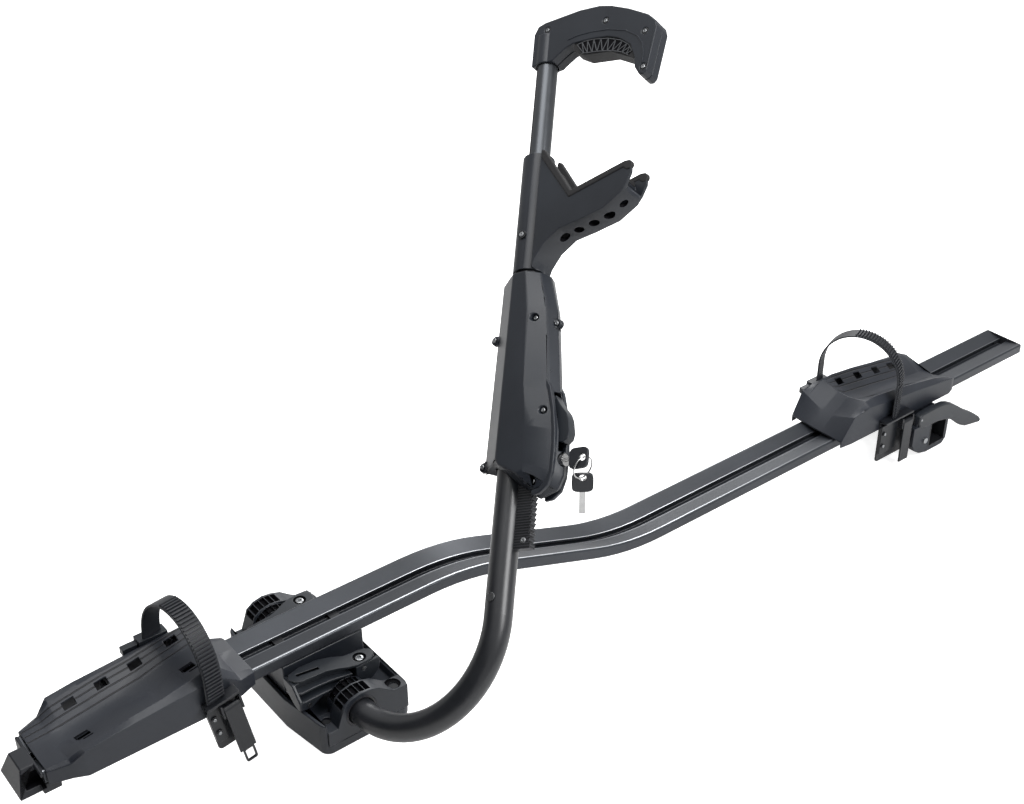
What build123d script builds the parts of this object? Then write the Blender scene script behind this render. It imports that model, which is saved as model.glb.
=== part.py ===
"""Roof mounted bike carrier.

Millimetres. The origin is on the underside of the front foot, under the arm's pivot axis.
+X runs along the rail to its rear end, +Y points away from the arm's side, +Z is up.
"""
import os
from math import cos, radians, sin

from build123d import *

os.makedirs("parts", exist_ok=True)

# Shared clearances
moving_gap = 0.3
fit_gap = 0.1
running_gap = 0.08
seat_gap = 0.05

# Rail: one aluminium extrusion, bent twice in its vertical plane
rail_width = 58
rail_height = 14
rail_top = 85
rear_drop = 80
bend_start = 130
bend_radius = 300
bend_turn = 19.5
rail_left = -286
rail_right = 1146
rail_wall = 2.2
rail_edge_radius = 2.5
trough_half = 26
trough_floor_half = 7
trough_depth = 4.5
slot_half = 5.5
channel_half = 11
channel_height = 4.6
chamber_shoulder = 2.6
chamber_crown = 3.5
end_cap_reach = 23
end_cap_plate = 3
end_cap_overlap = 14
end_cap_drop = 11
end_cap_lean = 8
end_cap_top_half = 13.5
end_cap_low_half = 24
end_plug_length = 10
end_plug_width = 10
end_plug_height = 5
end_plug_y = 20
end_plate_thickness = 2
end_peg_reach = 10
rail_bottom = rail_top - rail_height
rear_top = rail_top - rear_drop
rear_bottom = rear_top - rail_height
rail_half = rail_width / 2
bend_sine = sin(radians(bend_turn))
bend_cosine = cos(radians(bend_turn))
slope_length = (rear_drop - 2 * bend_radius * (1 - bend_cosine)) / bend_sine
channel_floor = rail_wall - rail_height
channel_roof = channel_floor + channel_height
chamber_inner = channel_half + rail_wall
chamber_outer = rail_half - rail_wall

# Foot: the base that stands on the front crossbar
foot_left = 51
foot_left_tip = 42
foot_right = 57
foot_half_width = 94
foot_taper_half = 34
foot_corner = 10
foot_floor = 1.5
foot_deck = 28
foot_rim = 38
foot_wall = 4.5
pad_thickness = 4
pad_half_length = 42
pad_half_width = 38
saddle_half_length = 46
saddle_half_width = 29
saddle_roof = 8
saddle_rib = 4
block_left = 38
block_right = 54
block_floor = 12
block_top = 59
block_face_depth = 18
barrel_reach = 11
barrel_radius = 21
flange_reach = 26
flange_top = 29
left_screw_x = -30
left_screw_y = 77
right_screw_x = 43
right_screw_y = 85
right_screw_seat = 40
block_screw_radius = 2.5
block_screw_head = 4.5
block_screw_depth = 5
foot_bolt_x = 32
foot_bolt_radius = 3
foot_bolt_nut_radius = 5
foot_bolt_nut_height = 5
bolt_plate_length = 10
bolt_plate_height = 4
clamp_x = 24
clamp_y = 56
clamp_height = 57
clamp_bolt_radius = 3
clamp_eye_radius = 5.6
clamp_eye_width = 8
clamp_boss_radius = 5.5
clamp_reach = 12
clamp_nut_length = 24
clamp_nut_width = 14
clamp_nut_height = 5
clamp_nut_drop = 6
lever_pin_radius = 2.5
lever_sweep = 18.5
lever_half_width = 8.5
lever_cheek = 3
lever_plate = 3
lever_tail = 73
lever_drop = 18
lever_window_radius = 4.5
lever_half_span = 25

# Arm: a bent tube that turns in the foot about an axis along Y
pivot_height = 37
tube_radius = 13.5
tube_wall = 2
tube_inside = 26
bush_radius = 16.5
bush_length = 24
bush_mouth = 1.4
arm_bend_radius = 100
arm_lean = 42
arm_rake = 34
straight_length = 474
retainer_plug = 14
retainer_flange = 2.5
retainer_radius = 15.8
stop_rivet_along = 16
stop_rivet_radius = 3
stop_rivet_head = 1.2
rack_crest = 32
rack_half_width = 4
rack_pitch = 5
rack_tooth = 3
rack_screw_reach = 24
rack_screw_radius = 1.6
rack_screw_head = 3
jaw_seat_below_end = 127
jaw_low = straight_length - jaw_seat_below_end
jaw_rise = 131
jaw_reach = 125
jaw_collar_radius = 16.5
jaw_plate_inner = 12.5
jaw_plate = 3.5
jaw_floor = 3
jaw_pad_thickness = 3
jaw_hole_radius = 3.5
jaw_screw_up = 38
jaw_screw_along = jaw_low + jaw_screw_up
jaw_screw_radius = 3
jaw_screw_head = 4.5
jaw_screw_proud = 1.8

# Slider: everything that runs along the arm tube and clamps the frame tube
slide_travel = 88
housing_rise = 232
housing_gap = 6
housing_low = jaw_low - housing_rise - housing_gap
guide_low_up = 41
guide_high_up = 217
slide_pin_up = 141
trigger_pivot_up = 97
pawl_pivot_up = 117
lock_up = 36
inner_up = 9
rack_below = 47
rack_above = 90
rack_screw_inset_low = 8
rack_screw_inset_high = 13
guide_low = housing_low + guide_low_up
guide_high = housing_low + guide_high_up
slide_pin_along = housing_low + slide_pin_up
trigger_pivot_along = housing_low + trigger_pivot_up
pawl_pivot_along = housing_low + pawl_pivot_up
lock_along = housing_low + lock_up
inner_low = housing_low + inner_up
rack_low = housing_low - rack_below
rack_high = housing_low + rack_above
rack_screw_low = rack_low + rack_screw_inset_low
rack_screw_high = rack_high - rack_screw_inset_high
inner_radius = 11.2
inner_wall = 2
hook_past_end = 114
hook_base = straight_length + hook_past_end
hook_seat_depth = 12
inner_high = hook_base + hook_seat_depth
hook_reach = 141
hook_rise = 52
hook_half_width = 11
hook_socket_radius = 13.5
hook_pad_half_width = 9
hook_screw_radius = 2
hook_screw_head = 3.6
hook_screw_head_depth = 2.5
housing_width = 62
housing_half_depth = 22
housing_shoulder = 12
housing_core_share = 0.88
housing_bore = 14.3
housing_screw_radius = 2
housing_screw_head = 3.6
housing_screw_half_length = 9
housing_post_start = 7.1
housing_post_wall = 1.5
ear_radius = 5
ear_half = 3
ear_screw_radius = 1.6
ear_screw_head = 2.8
ear_screw_proud = 1.2
guide_radius = 17
guide_length = 12
slide_pin_radius = 3
slide_pin_outer = 17
slide_pin_inner = 6
trigger_pivot_reach = 47
trigger_length = 46
trigger_depth = 20
trigger_half_width = 5.5
pawl_pivot_reach = 40
pawl_length = 34
pawl_half_width = 3.5
small_pin_radius = 1.5
small_pin_half_length = 11
lock_radius = 6
lock_depth = 16
lock_face = 62.5
key_shank = 5
key_shank_half = 2
key_bow_radius = 10
key_bow_corner = 5
key_thickness = 2.2
key_hole_radius = 3.2
key_hole_reach = 82
ring_radius = 11
ring_wire = 0.8
spare_shank_length = 26
spare_shank_width = 6

# Trays, straps and buckles
tray_half = 44
tray_wall = 2
tray_floor_half = 8
front_tray_left = -284
front_tray_length = 207
front_tray_rise = 34
front_tray_skirt = 14
rear_tray_left = 754
rear_tray_length = 226
rear_tray_rise = 45
rear_tray_skirt = 5
sole_thickness = 3
sole_half = 28.5
tray_rib = 3
window_length = 12
window_width = 8
window_y = 26
slit_width = 6
slit_y = 16
front_rib_low = -198
front_rib_high = -127
front_rib_low_height = 10
front_rib_high_height = 26
front_tray_bolts_x = (-182, -145)
rear_rib_low = 822
rear_rib_high = 862
rear_rib_low_height = 24
rear_rib_high_height = 18.5
rear_tray_bolts_x = (832, 852)
front_windows_x = (-236, -203, -169, -131)
front_slits_x = (-241, -134)
rear_windows_x = (822, 859, 896, 928)
rear_slits_x = (842, 915)
tray_bolt_radius = 3
tray_nut_radius = 4.5
tray_nut_height = 4
strap_width = 20
strap_thickness = 2
strap_half_span = 50
front_strap_x = -133
front_strap_twist = 7.3
front_strap_spring = 112
front_strap_rise = 64
front_strap_far_leg = 10
front_strap_near_leg = 21
rear_strap_x = 829
rear_strap_twist = 21
rear_strap_spring = 65
rear_strap_rise = 56
rear_strap_far_leg = 26
rear_strap_near_leg = 52
clip_length = 30
clip_height = 14
clip_depth = 13
clip_peg_length = 16
clip_peg_size = 8
front_clip_x = -140
front_clip_z = 106
rear_clip_x = 809
rear_clip_z = 32
buckle_plate = 2
buckle_top = 10
buckle_bottom = 54
buckle_right = 17
buckle_corner = 5
buckle_block = 4
buckle_mouth_low = 7
buckle_mouth_depth = 12
buckle_cheek = 2.2
buckle_cheek_reach = 14
buckle_lever_left = 3.6
buckle_lever_right = 13.6
buckle_pin_height = 2
buckle_pin_out = 11
buckle_pin_radius = 1.5
buckle_hub_radius = 3.9
buckle_lever_plate = 2.5
buckle_rivet_radius = 1.5
buckle_rivet_head = 3
buckle_rivet_proud = 1.5
buckle_ring_length = 16
front_buckle_x = -120
front_buckle_z = 83
front_buckle_lean = 10
front_buckle_left = 18
front_lever_length = 73
rear_buckle_x = 861
rear_buckle_z = 5
rear_buckle_lean = 0
rear_buckle_left = 37
rear_lever_length = 59

# Rear clamp: holds the rail on the rear crossbar
clamp_left = 880
clamp_right = 953
clamp_outer = 60
clamp_inner = 50
clamp_far = 33
clamp_far_plate = 5
clamp_bottom = 62
clamp_cheek_top = 14
clamp_saddle = 7
clamp_saddle_left = 885
clamp_saddle_right = 947
clamp_lip = 3
clamp_lip_reach = 4
bar_opening_left = 917
bar_opening_width = 30
bar_opening_height = 34
bar_opening_low = 54
band_thickness = 1.5
clamp_bolt_head_radius = 4
clamp_bolt_head_proud = 2
rear_bolt_x = 906
rear_bolt_z = 41
rear_bolt_radius = 3
rear_pivot_x = 892
rear_pivot_z = 4
rear_ear_radius = 5.5
rear_ear_near = 58
rear_ear_far = 53
rear_lever_near = 61
rear_lever_far = 50.3
rear_lever_reach = 146
rear_lever_rise = 61

# Frame of the arm's straight part: reach towards the bike, along the tube, and side
lean_line = Vector(sin(radians(arm_lean)), 0, cos(radians(arm_lean)))
across = Vector(0, 1, 0)
tube_line = lean_line * cos(radians(arm_rake)) + across * sin(radians(arm_rake))
reach_line = lean_line * sin(radians(arm_rake)) - across * cos(radians(arm_rake))
side_line = Vector(-cos(radians(arm_lean)), 0, sin(radians(arm_lean)))
pivot_point = Vector(0, -foot_half_width, pivot_height)
arm_turn = 90 + arm_rake
tube_foot = (
    pivot_point
    - across * (arm_bend_radius * sin(radians(arm_turn)))
    + lean_line * (arm_bend_radius * (1 - cos(radians(arm_turn))))
)
arm_plane = Plane(origin=tube_foot, x_dir=reach_line, z_dir=side_line)


def arm_point(reach, along, side=0):
    """A point in the frame of the arm's straight part."""
    return tube_foot + reach_line * reach + tube_line * along + side_line * side


def arm_section(along):
    """The plane across the tube, its x towards the reach."""
    return Plane(origin=arm_point(0, along), x_dir=reach_line, z_dir=tube_line)


def side_section(reach, along, side=0):
    """A plane beside the arm at a point: x is the reach, y is along the tube."""
    return Plane(origin=arm_point(reach, along, side), x_dir=reach_line, z_dir=side_line)


def reach_section(reach, along):
    """A plane that faces the reach at a point: x is along the tube, y is the side."""
    return Plane(origin=arm_point(reach, along), x_dir=tube_line, z_dir=reach_line)


def spread(shares, width, height, base=0):
    """Outline points from hand-chosen shares of a width and a height."""
    return [(x * width, base + y * height) for x, y in shares]


def toward_middle(points, middle, share):
    """The same outline drawn in towards a middle point."""
    return [
        (middle[0] + share * (x - middle[0]), middle[1] + share * (y - middle[1]))
        for x, y in points
    ]


# The rail with its trough, slot and hollow chambers
rail_profile = Plane(origin=(rail_left, 0, rail_top), x_dir=(0, 1, 0), z_dir=(1, 0, 0))
with BuildPart() as rail:
    with BuildLine(Plane.XZ) as rail_path:
        front_run = Line((rail_left, rail_top), (bend_start, rail_top))
        upper_bend = JernArc(front_run @ 1, front_run % 1, bend_radius, -bend_turn)
        slope = Line(upper_bend @ 1, (upper_bend @ 1) + (upper_bend % 1) * slope_length)
        lower_bend = JernArc(slope @ 1, slope % 1, bend_radius, bend_turn)
        Line(lower_bend @ 1, (rail_right, rear_top))
    with BuildSketch(rail_profile):
        with Locations((0, -rail_height / 2)):
            RectangleRounded(rail_width, rail_height, rail_edge_radius)
        with BuildLine():
            Polyline(
                (-trough_half, 0),
                (-trough_floor_half, -trough_depth),
                (trough_floor_half, -trough_depth),
                (trough_half, 0),
                close=True,
            )
        make_face(mode=Mode.SUBTRACT)
        with Locations((0, (channel_roof - trough_depth) / 2)):
            Rectangle(2 * slot_half, fit_gap - trough_depth - channel_roof, mode=Mode.SUBTRACT)
        with Locations((0, channel_floor + channel_height / 2)):
            Rectangle(2 * channel_half, channel_height, mode=Mode.SUBTRACT)
        for hand in (-1, 1):
            with BuildLine():
                Polyline(
                    (hand * chamber_inner, channel_floor),
                    (hand * chamber_inner, channel_roof + rail_wall / 2),
                    (hand * trough_half, -chamber_shoulder),
                    (hand * chamber_outer, -chamber_crown),
                    (hand * chamber_outer, channel_floor),
                    close=True,
                )
            make_face(mode=Mode.SUBTRACT)
    sweep(path=rail_path.line)
    with Locations((-foot_bolt_x, 0, rail_bottom), (foot_bolt_x, 0, rail_bottom)):
        Cylinder(foot_bolt_radius + fit_gap, 2 * rail_wall + 2 * fit_gap, mode=Mode.SUBTRACT)
rail.part.label = "rail"
export_step(rail.part, "parts/rail.step")

# The cap that closes the front end: a leaning nose, a plate, a tongue below and two plugs
cap_left = rail_left - end_cap_reach
cap_bottom = rail_bottom - end_cap_drop
cap_height = rail_top - cap_bottom
cap_end = Plane(origin=(cap_left, 0, 0), x_dir=(0, 1, 0), z_dir=(1, 0, 0))
with BuildPart() as front_end_cap:
    with BuildSketch(cap_end):
        with BuildLine():
            Polyline(
                (-end_cap_low_half, cap_bottom),
                (-end_cap_top_half, rail_top),
                (end_cap_top_half, rail_top),
                (end_cap_low_half, cap_bottom),
                close=True,
            )
        make_face()
    extrude(amount=end_cap_reach)
    with BuildSketch(Plane.XZ):
        with BuildLine():
            Polyline(
                (cap_left, cap_bottom),
                (cap_left + end_cap_lean, rail_top),
                (cap_left, rail_top),
                close=True,
            )
        make_face()
    extrude(amount=rail_half, both=True, mode=Mode.SUBTRACT)
    with BuildSketch(cap_end.offset(end_cap_reach - end_cap_plate)):
        with Locations((0, (rail_top + cap_bottom) / 2)):
            Rectangle(rail_width, cap_height)
    extrude(amount=end_cap_plate)
    with Locations((rail_left, 0, rail_bottom - fit_gap)):
        Box(
            end_cap_overlap,
            rail_width,
            end_cap_drop - fit_gap,
            align=(Align.MIN, Align.CENTER, Align.MAX),
        )
    with Locations(
        (rail_left, -end_plug_y, rail_top + channel_floor + fit_gap),
        (rail_left, end_plug_y, rail_top + channel_floor + fit_gap),
    ):
        Box(
            end_plug_length,
            end_plug_width,
            end_plug_height,
            align=(Align.MIN, Align.CENTER, Align.MIN),
        )
front_end_cap.part.label = "front_end_cap"
export_step(front_end_cap.part, "parts/front_end_cap.step")

# The plate that closes the rear end, held by two pegs in the T channel
peg_y = channel_half - channel_height / 2
rear_end_plane = Plane(origin=(rail_right, 0, rear_top), x_dir=(0, 1, 0), z_dir=(1, 0, 0))
with BuildPart() as rear_end_plate:
    with BuildSketch(rear_end_plane):
        with Locations((0, -rail_height / 2)):
            RectangleRounded(rail_width, rail_height, rail_edge_radius)
    extrude(amount=end_plate_thickness)
    with BuildSketch(rear_end_plane):
        with Locations((-peg_y, channel_floor + channel_height / 2)):
            Circle(channel_height / 2 - fit_gap)
        with Locations((peg_y, channel_floor + channel_height / 2)):
            Circle(channel_height / 2 - fit_gap)
    extrude(amount=-end_peg_reach)
rear_end_plate.part.label = "rear_end_plate"
export_step(rear_end_plate.part, "parts/rear_end_plate.step")

# The foot's base: a deck with a rim, a saddle for the rail and pockets for the arm blocks
block_inner = foot_half_width - block_face_depth
barrel_inner = block_inner - barrel_reach
flange_inner = foot_half_width - flange_reach
foot_points = [
    (-foot_left, -foot_taper_half),
    (-foot_left_tip, -foot_half_width),
    (foot_right, -foot_half_width),
    (foot_right, foot_half_width),
    (-foot_left_tip, foot_half_width),
    (-foot_left, foot_taper_half),
]
with BuildPart() as foot_base:
    with BuildSketch(Plane.XY.offset(foot_floor)) as foot_plan:
        with BuildLine():
            Polyline(*foot_points, close=True)
        make_face()
        fillet(foot_plan.vertices().filter_by(lambda v: abs(v.Y) > foot_taper_half + 1), foot_corner)
    extrude(amount=foot_rim - foot_floor)
    with BuildSketch(Plane.XY.offset(foot_rim)):
        add(foot_plan.sketch)
        offset(amount=-foot_wall)
    extrude(amount=foot_deck - foot_rim, mode=Mode.SUBTRACT)
    with Locations((0, 0, (foot_deck + rail_bottom) / 2)):
        Box(2 * saddle_half_length, 2 * saddle_half_width, rail_bottom - foot_deck)
    saddle_hollow = saddle_half_length - foot_wall
    hollow_top = rail_bottom - saddle_roof
    with Locations(
        (-(saddle_hollow + saddle_rib) / 2, 0, (hollow_top + foot_floor) / 2),
        ((saddle_hollow + saddle_rib) / 2, 0, (hollow_top + foot_floor) / 2),
    ):
        Box(
            saddle_hollow - saddle_rib,
            2 * (saddle_half_width - foot_wall),
            hollow_top - foot_floor,
            mode=Mode.SUBTRACT,
        )
    with Locations((0, 0, foot_floor)):
        Box(
            2 * pad_half_length + 2 * fit_gap,
            2 * pad_half_width + 2 * fit_gap,
            2 * (pad_thickness - foot_floor),
            mode=Mode.SUBTRACT,
        )
    for hand in (-1, 1):
        with Locations((clamp_x, hand * clamp_y, foot_deck)):
            Cylinder(
                clamp_boss_radius,
                clamp_height - lever_sweep - moving_gap - foot_deck,
                align=(Align.CENTER, Align.CENTER, Align.MIN),
            )
        with Locations((clamp_x, hand * clamp_y, 0)):
            Cylinder(
                clamp_bolt_radius + fit_gap,
                clamp_height,
                align=(Align.CENTER, Align.CENTER, Align.MIN),
                mode=Mode.SUBTRACT,
            )
        with Locations(
            ((block_right - block_left) / 2, hand * (foot_half_width + block_inner) / 2, block_top)
        ):
            Box(
                block_left + block_right + 2 * fit_gap,
                block_face_depth + 2 * fit_gap,
                2 * (block_top - block_floor),
                mode=Mode.SUBTRACT,
            )
        with Locations((0, hand * (foot_half_width + barrel_inner) / 2, block_top)):
            Box(
                2 * barrel_radius + 2 * fit_gap,
                foot_half_width - barrel_inner + 2 * fit_gap,
                2 * (block_top - block_floor),
                mode=Mode.SUBTRACT,
            )
        with Locations(
            (-(block_left + barrel_radius) / 2, hand * (foot_half_width + flange_inner) / 2, block_top)
        ):
            Box(
                block_left - barrel_radius + 2 * fit_gap,
                flange_reach + 2 * fit_gap,
                2 * (block_top - block_floor),
                mode=Mode.SUBTRACT,
            )
    with Locations((-foot_bolt_x, 0, rail_bottom), (foot_bolt_x, 0, rail_bottom)):
        Cylinder(foot_bolt_radius + fit_gap, 2 * saddle_roof + 2 * fit_gap, mode=Mode.SUBTRACT)
foot_base.part.label = "foot_base"
export_step(foot_base.part, "parts/foot_base.step")

# The rubber pad under the foot; its lower face is the front bar seat
with BuildPart() as foot_pad:
    with Locations((0, 0, pad_thickness / 2)):
        Box(2 * pad_half_length, 2 * pad_half_width, pad_thickness)
foot_pad.part.label = "foot_pad"
export_step(foot_pad.part, "parts/foot_pad.step")

# The two arm blocks, one each side, mirror images of each other
arch_shares = [
    (-0.704, 0),
    (-0.704, 0.362),
    (-0.5, 0.362),
    (-0.47, 0.45),
    (-0.35, 0.83),
    (-0.2, 0.95),
    (0, 1),
    (0.2, 0.97),
    (0.4, 0.89),
    (0.62, 0.69),
    (0.72, 0.62),
    (1, 0.6),
    (1, 0),
]
block_height = block_top - block_floor


def arm_block(hand):
    """One arm block: the arched face, the barrel round the bush and the screw flange."""
    face_plane = Plane(origin=(0, hand * block_inner, 0), x_dir=(1, 0, 0), z_dir=(0, -1, 0))
    with BuildPart() as block:
        with BuildSketch(face_plane):
            with BuildLine():
                Polyline(*spread(arch_shares, block_right, block_height, block_floor), close=True)
            make_face()
        extrude(amount=-hand * block_face_depth)
        with BuildSketch(face_plane):
            with Locations((0, pivot_height)):
                Circle(barrel_radius)
            with Locations((0, (block_floor + pivot_height) / 2)):
                Rectangle(2 * barrel_radius, pivot_height - block_floor)
        extrude(amount=hand * barrel_reach)
        with Locations(
            (
                -(block_left + barrel_radius) / 2,
                hand * (flange_inner + block_inner) / 2,
                (block_floor + flange_top) / 2,
            )
        ):
            Box(block_left - barrel_radius, block_inner - flange_inner, flange_top - block_floor)
        with BuildSketch(face_plane):
            with Locations((0, pivot_height)):
                Circle(bush_radius + fit_gap)
        extrude(amount=foot_half_width, both=True, mode=Mode.SUBTRACT)
        with Locations(
            (left_screw_x, hand * left_screw_y, 0), (right_screw_x, hand * right_screw_y, 0)
        ):
            Cylinder(
                block_screw_radius + fit_gap,
                block_top,
                align=(Align.CENTER, Align.CENTER, Align.MIN),
                mode=Mode.SUBTRACT,
            )
        with Locations(
            (left_screw_x, hand * left_screw_y, flange_top - block_screw_depth),
            (right_screw_x, hand * right_screw_y, right_screw_seat - block_screw_depth),
        ):
            Cylinder(
                block_screw_head + fit_gap,
                block_top,
                align=(Align.CENTER, Align.CENTER, Align.MIN),
                mode=Mode.SUBTRACT,
            )
    return block.part


with BuildPart() as near_arm_block:
    add(arm_block(-1))
near_arm_block.part.label = "near_arm_block"
export_step(near_arm_block.part, "parts/near_arm_block.step")

with BuildPart() as far_arm_block:
    add(arm_block(1))
far_arm_block.part.label = "far_arm_block"
export_step(far_arm_block.part, "parts/far_arm_block.step")

# Four screws that hold the blocks down into the base
with BuildPart() as block_screws:
    for hand in (-1, 1):
        for screw_x, screw_y, seat in (
            (left_screw_x, left_screw_y, flange_top - block_screw_depth),
            (right_screw_x, right_screw_y, right_screw_seat - block_screw_depth),
        ):
            with Locations((screw_x, hand * screw_y, seat)):
                Cylinder(
                    block_screw_head,
                    block_screw_depth / 2,
                    align=(Align.CENTER, Align.CENTER, Align.MIN),
                )
            with Locations((screw_x, hand * screw_y, block_floor)):
                Cylinder(
                    block_screw_radius,
                    seat - block_floor,
                    align=(Align.CENTER, Align.CENTER, Align.MIN),
                )
block_screws.part.label = "block_screws"
export_step(block_screws.part, "parts/block_screws.step")

# The plastic bush in which the arm turns
near_face = Plane(origin=pivot_point, x_dir=(1, 0, 0), z_dir=(0, -1, 0))
with BuildPart() as arm_socket_bush:
    with BuildSketch(near_face):
        Circle(bush_radius)
        Circle(tube_radius + running_gap, mode=Mode.SUBTRACT)
    extrude(amount=-bush_length)
    chamfer(
        arm_socket_bush.edges()
        .filter_by(GeomType.CIRCLE)
        .group_by(Axis.Y)[0]
        .sort_by(SortBy.RADIUS)[0],
        bush_mouth,
    )
arm_socket_bush.part.label = "arm_socket_bush"
export_step(arm_socket_bush.part, "parts/arm_socket_bush.step")

# The plug that fills the unused far socket
with BuildPart() as far_socket_plug:
    with BuildSketch(Plane(origin=(0, foot_half_width, pivot_height), x_dir=(1, 0, 0), z_dir=(0, -1, 0))):
        Circle(bush_radius)
    extrude(amount=bush_length)
    with BuildSketch(
        Plane(origin=(0, foot_half_width - bush_length, pivot_height), x_dir=(1, 0, 0), z_dir=(0, 1, 0))
    ):
        Circle(tube_radius)
    extrude(amount=bush_length - tube_wall, mode=Mode.SUBTRACT)
far_socket_plug.part.label = "far_socket_plug"
export_step(far_socket_plug.part, "parts/far_socket_plug.step")

# Two T bolts with their nuts that hold the rail on the saddle
with BuildPart() as rail_bolts:
    for bolt_x in (-foot_bolt_x, foot_bolt_x):
        with Locations((bolt_x, 0, rail_bottom + rail_wall)):
            Box(
                bolt_plate_length,
                2 * (channel_half - moving_gap),
                bolt_plate_height,
                align=(Align.CENTER, Align.CENTER, Align.MIN),
            )
            Cylinder(
                foot_bolt_radius,
                rail_wall + saddle_roof,
                align=(Align.CENTER, Align.CENTER, Align.MAX),
            )
        with BuildSketch(Plane.XY.offset(rail_bottom - saddle_roof)):
            with Locations((bolt_x, 0)):
                RegularPolygon(foot_bolt_nut_radius, 6)
        extrude(amount=-foot_bolt_nut_height)
rail_bolts.part.label = "rail_bolts"
export_step(rail_bolts.part, "parts/rail_bolts.step")

# Two clamp bolts: an eye round the lever pin and a shank down through the base
with BuildPart() as clamp_bolts:
    for hand in (-1, 1):
        eye_plane = Plane(
            origin=(clamp_x, hand * clamp_y, clamp_height), x_dir=(1, 0, 0), z_dir=(0, -1, 0)
        )
        with Locations((clamp_x, hand * clamp_y, clamp_height)):
            Cylinder(
                clamp_bolt_radius,
                clamp_height + clamp_reach,
                align=(Align.CENTER, Align.CENTER, Align.MAX),
            )
        with BuildSketch(eye_plane):
            Circle(clamp_eye_radius)
        extrude(amount=clamp_eye_width / 2, both=True)
        with BuildSketch(eye_plane):
            Circle(lever_pin_radius + seat_gap)
        extrude(amount=clamp_eye_width, both=True, mode=Mode.SUBTRACT)
clamp_bolts.part.label = "clamp_bolts"
export_step(clamp_bolts.part, "parts/clamp_bolts.step")

# The T nuts on the clamp bolts that hold in the crossbar's slot
with BuildPart() as clamp_nuts:
    for hand in (-1, 1):
        with Locations((clamp_x, hand * clamp_y, -clamp_nut_drop)):
            Box(
                clamp_nut_width,
                clamp_nut_length,
                clamp_nut_height,
                align=(Align.CENTER, Align.CENTER, Align.MAX),
            )
            Cylinder(
                clamp_bolt_radius + seat_gap,
                clamp_nut_height,
                align=(Align.CENTER, Align.CENTER, Align.MAX),
                mode=Mode.SUBTRACT,
            )
clamp_nuts.part.label = "clamp_nuts"
export_step(clamp_nuts.part, "parts/clamp_nuts.step")

# The pins on which the two clamp levers turn
with BuildPart() as lever_pins:
    for hand in (-1, 1):
        with BuildSketch(
            Plane(origin=(clamp_x, hand * clamp_y, clamp_height), x_dir=(1, 0, 0), z_dir=(0, -1, 0))
        ):
            Circle(lever_pin_radius)
        extrude(amount=lever_half_width, both=True)
lever_pins.part.label = "lever_pins"
export_step(lever_pins.part, "parts/lever_pins.step")

# The clamp levers: two cheeks on the pin, a top plate and a grip that bends down
lever_plan_shares = [
    (0.26, -0.36),
    (0.26, 0.38),
    (0.0, 0.5),
    (-0.7, 1),
    (-1.05, 1),
    (-1.05, -0.36),
    (-0.7, -0.16),
    (-0.2, -0.36),
]


def clamp_lever(hand):
    """One clamp lever, cut from its side outline by its plan outline."""
    lever_origin = (clamp_x, hand * clamp_y, clamp_height)
    side = Plane(origin=lever_origin, x_dir=(1, 0, 0), z_dir=(0, -1, 0))
    plate_top = clamp_eye_radius + moving_gap + lever_plate
    plate_low = clamp_eye_radius + moving_gap
    outline = [
        (lever_sweep - lever_cheek, plate_top),
        (-lever_tail * 0.82, plate_top),
        (-lever_tail, plate_top - lever_plate * 2),
        (-lever_tail, -lever_drop),
        (-lever_tail + lever_plate, -lever_drop),
        (-lever_tail + lever_plate, plate_low - lever_plate * 2),
        (-lever_tail * 0.8, plate_low),
        (lever_sweep - lever_cheek, plate_low),
    ]
    with BuildPart() as lever:
        with BuildSketch(side):
            with BuildLine():
                Polyline(*outline, close=True)
            make_face()
        extrude(amount=lever_half_span, both=True)
        with BuildSketch(Plane(origin=lever_origin, x_dir=(1, 0, 0), z_dir=(0, 0, 1))):
            with BuildLine():
                Polyline(
                    *[(x * lever_tail, -hand * y * lever_half_span) for x, y in lever_plan_shares],
                    close=True,
                )
            make_face()
        extrude(amount=lever_tail, both=True, mode=Mode.INTERSECT)
        with BuildSketch(side):
            Circle(lever_sweep)
            with Locations((0, lever_sweep + plate_low)):
                Rectangle(2 * lever_sweep, 2 * lever_sweep, mode=Mode.SUBTRACT)
            with Locations((-lever_sweep, 0)):
                Rectangle(lever_sweep, 2 * lever_sweep, mode=Mode.SUBTRACT)
        extrude(amount=lever_half_width, both=True)
        with BuildSketch(side):
            with Locations((0, plate_low - lever_sweep)):
                Rectangle(4 * lever_sweep, 2 * lever_sweep)
        extrude(amount=lever_half_width - lever_cheek, both=True, mode=Mode.SUBTRACT)
        with BuildSketch(side):
            Circle(lever_pin_radius + running_gap)
        extrude(amount=lever_half_width + lever_cheek, both=True, mode=Mode.SUBTRACT)
        with Locations((clamp_x, hand * clamp_y, clamp_height)):
            Cylinder(
                lever_window_radius,
                lever_tail,
                align=(Align.CENTER, Align.CENTER, Align.MIN),
                mode=Mode.SUBTRACT,
            )
    return lever.part


with BuildPart() as near_clamp_lever:
    add(clamp_lever(-1))
near_clamp_lever.part.label = "near_clamp_lever"
export_step(near_clamp_lever.part, "parts/near_clamp_lever.step")

with BuildPart() as far_clamp_lever:
    add(clamp_lever(1))
far_clamp_lever.part.label = "far_clamp_lever"
export_step(far_clamp_lever.part, "parts/far_clamp_lever.step")

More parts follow.
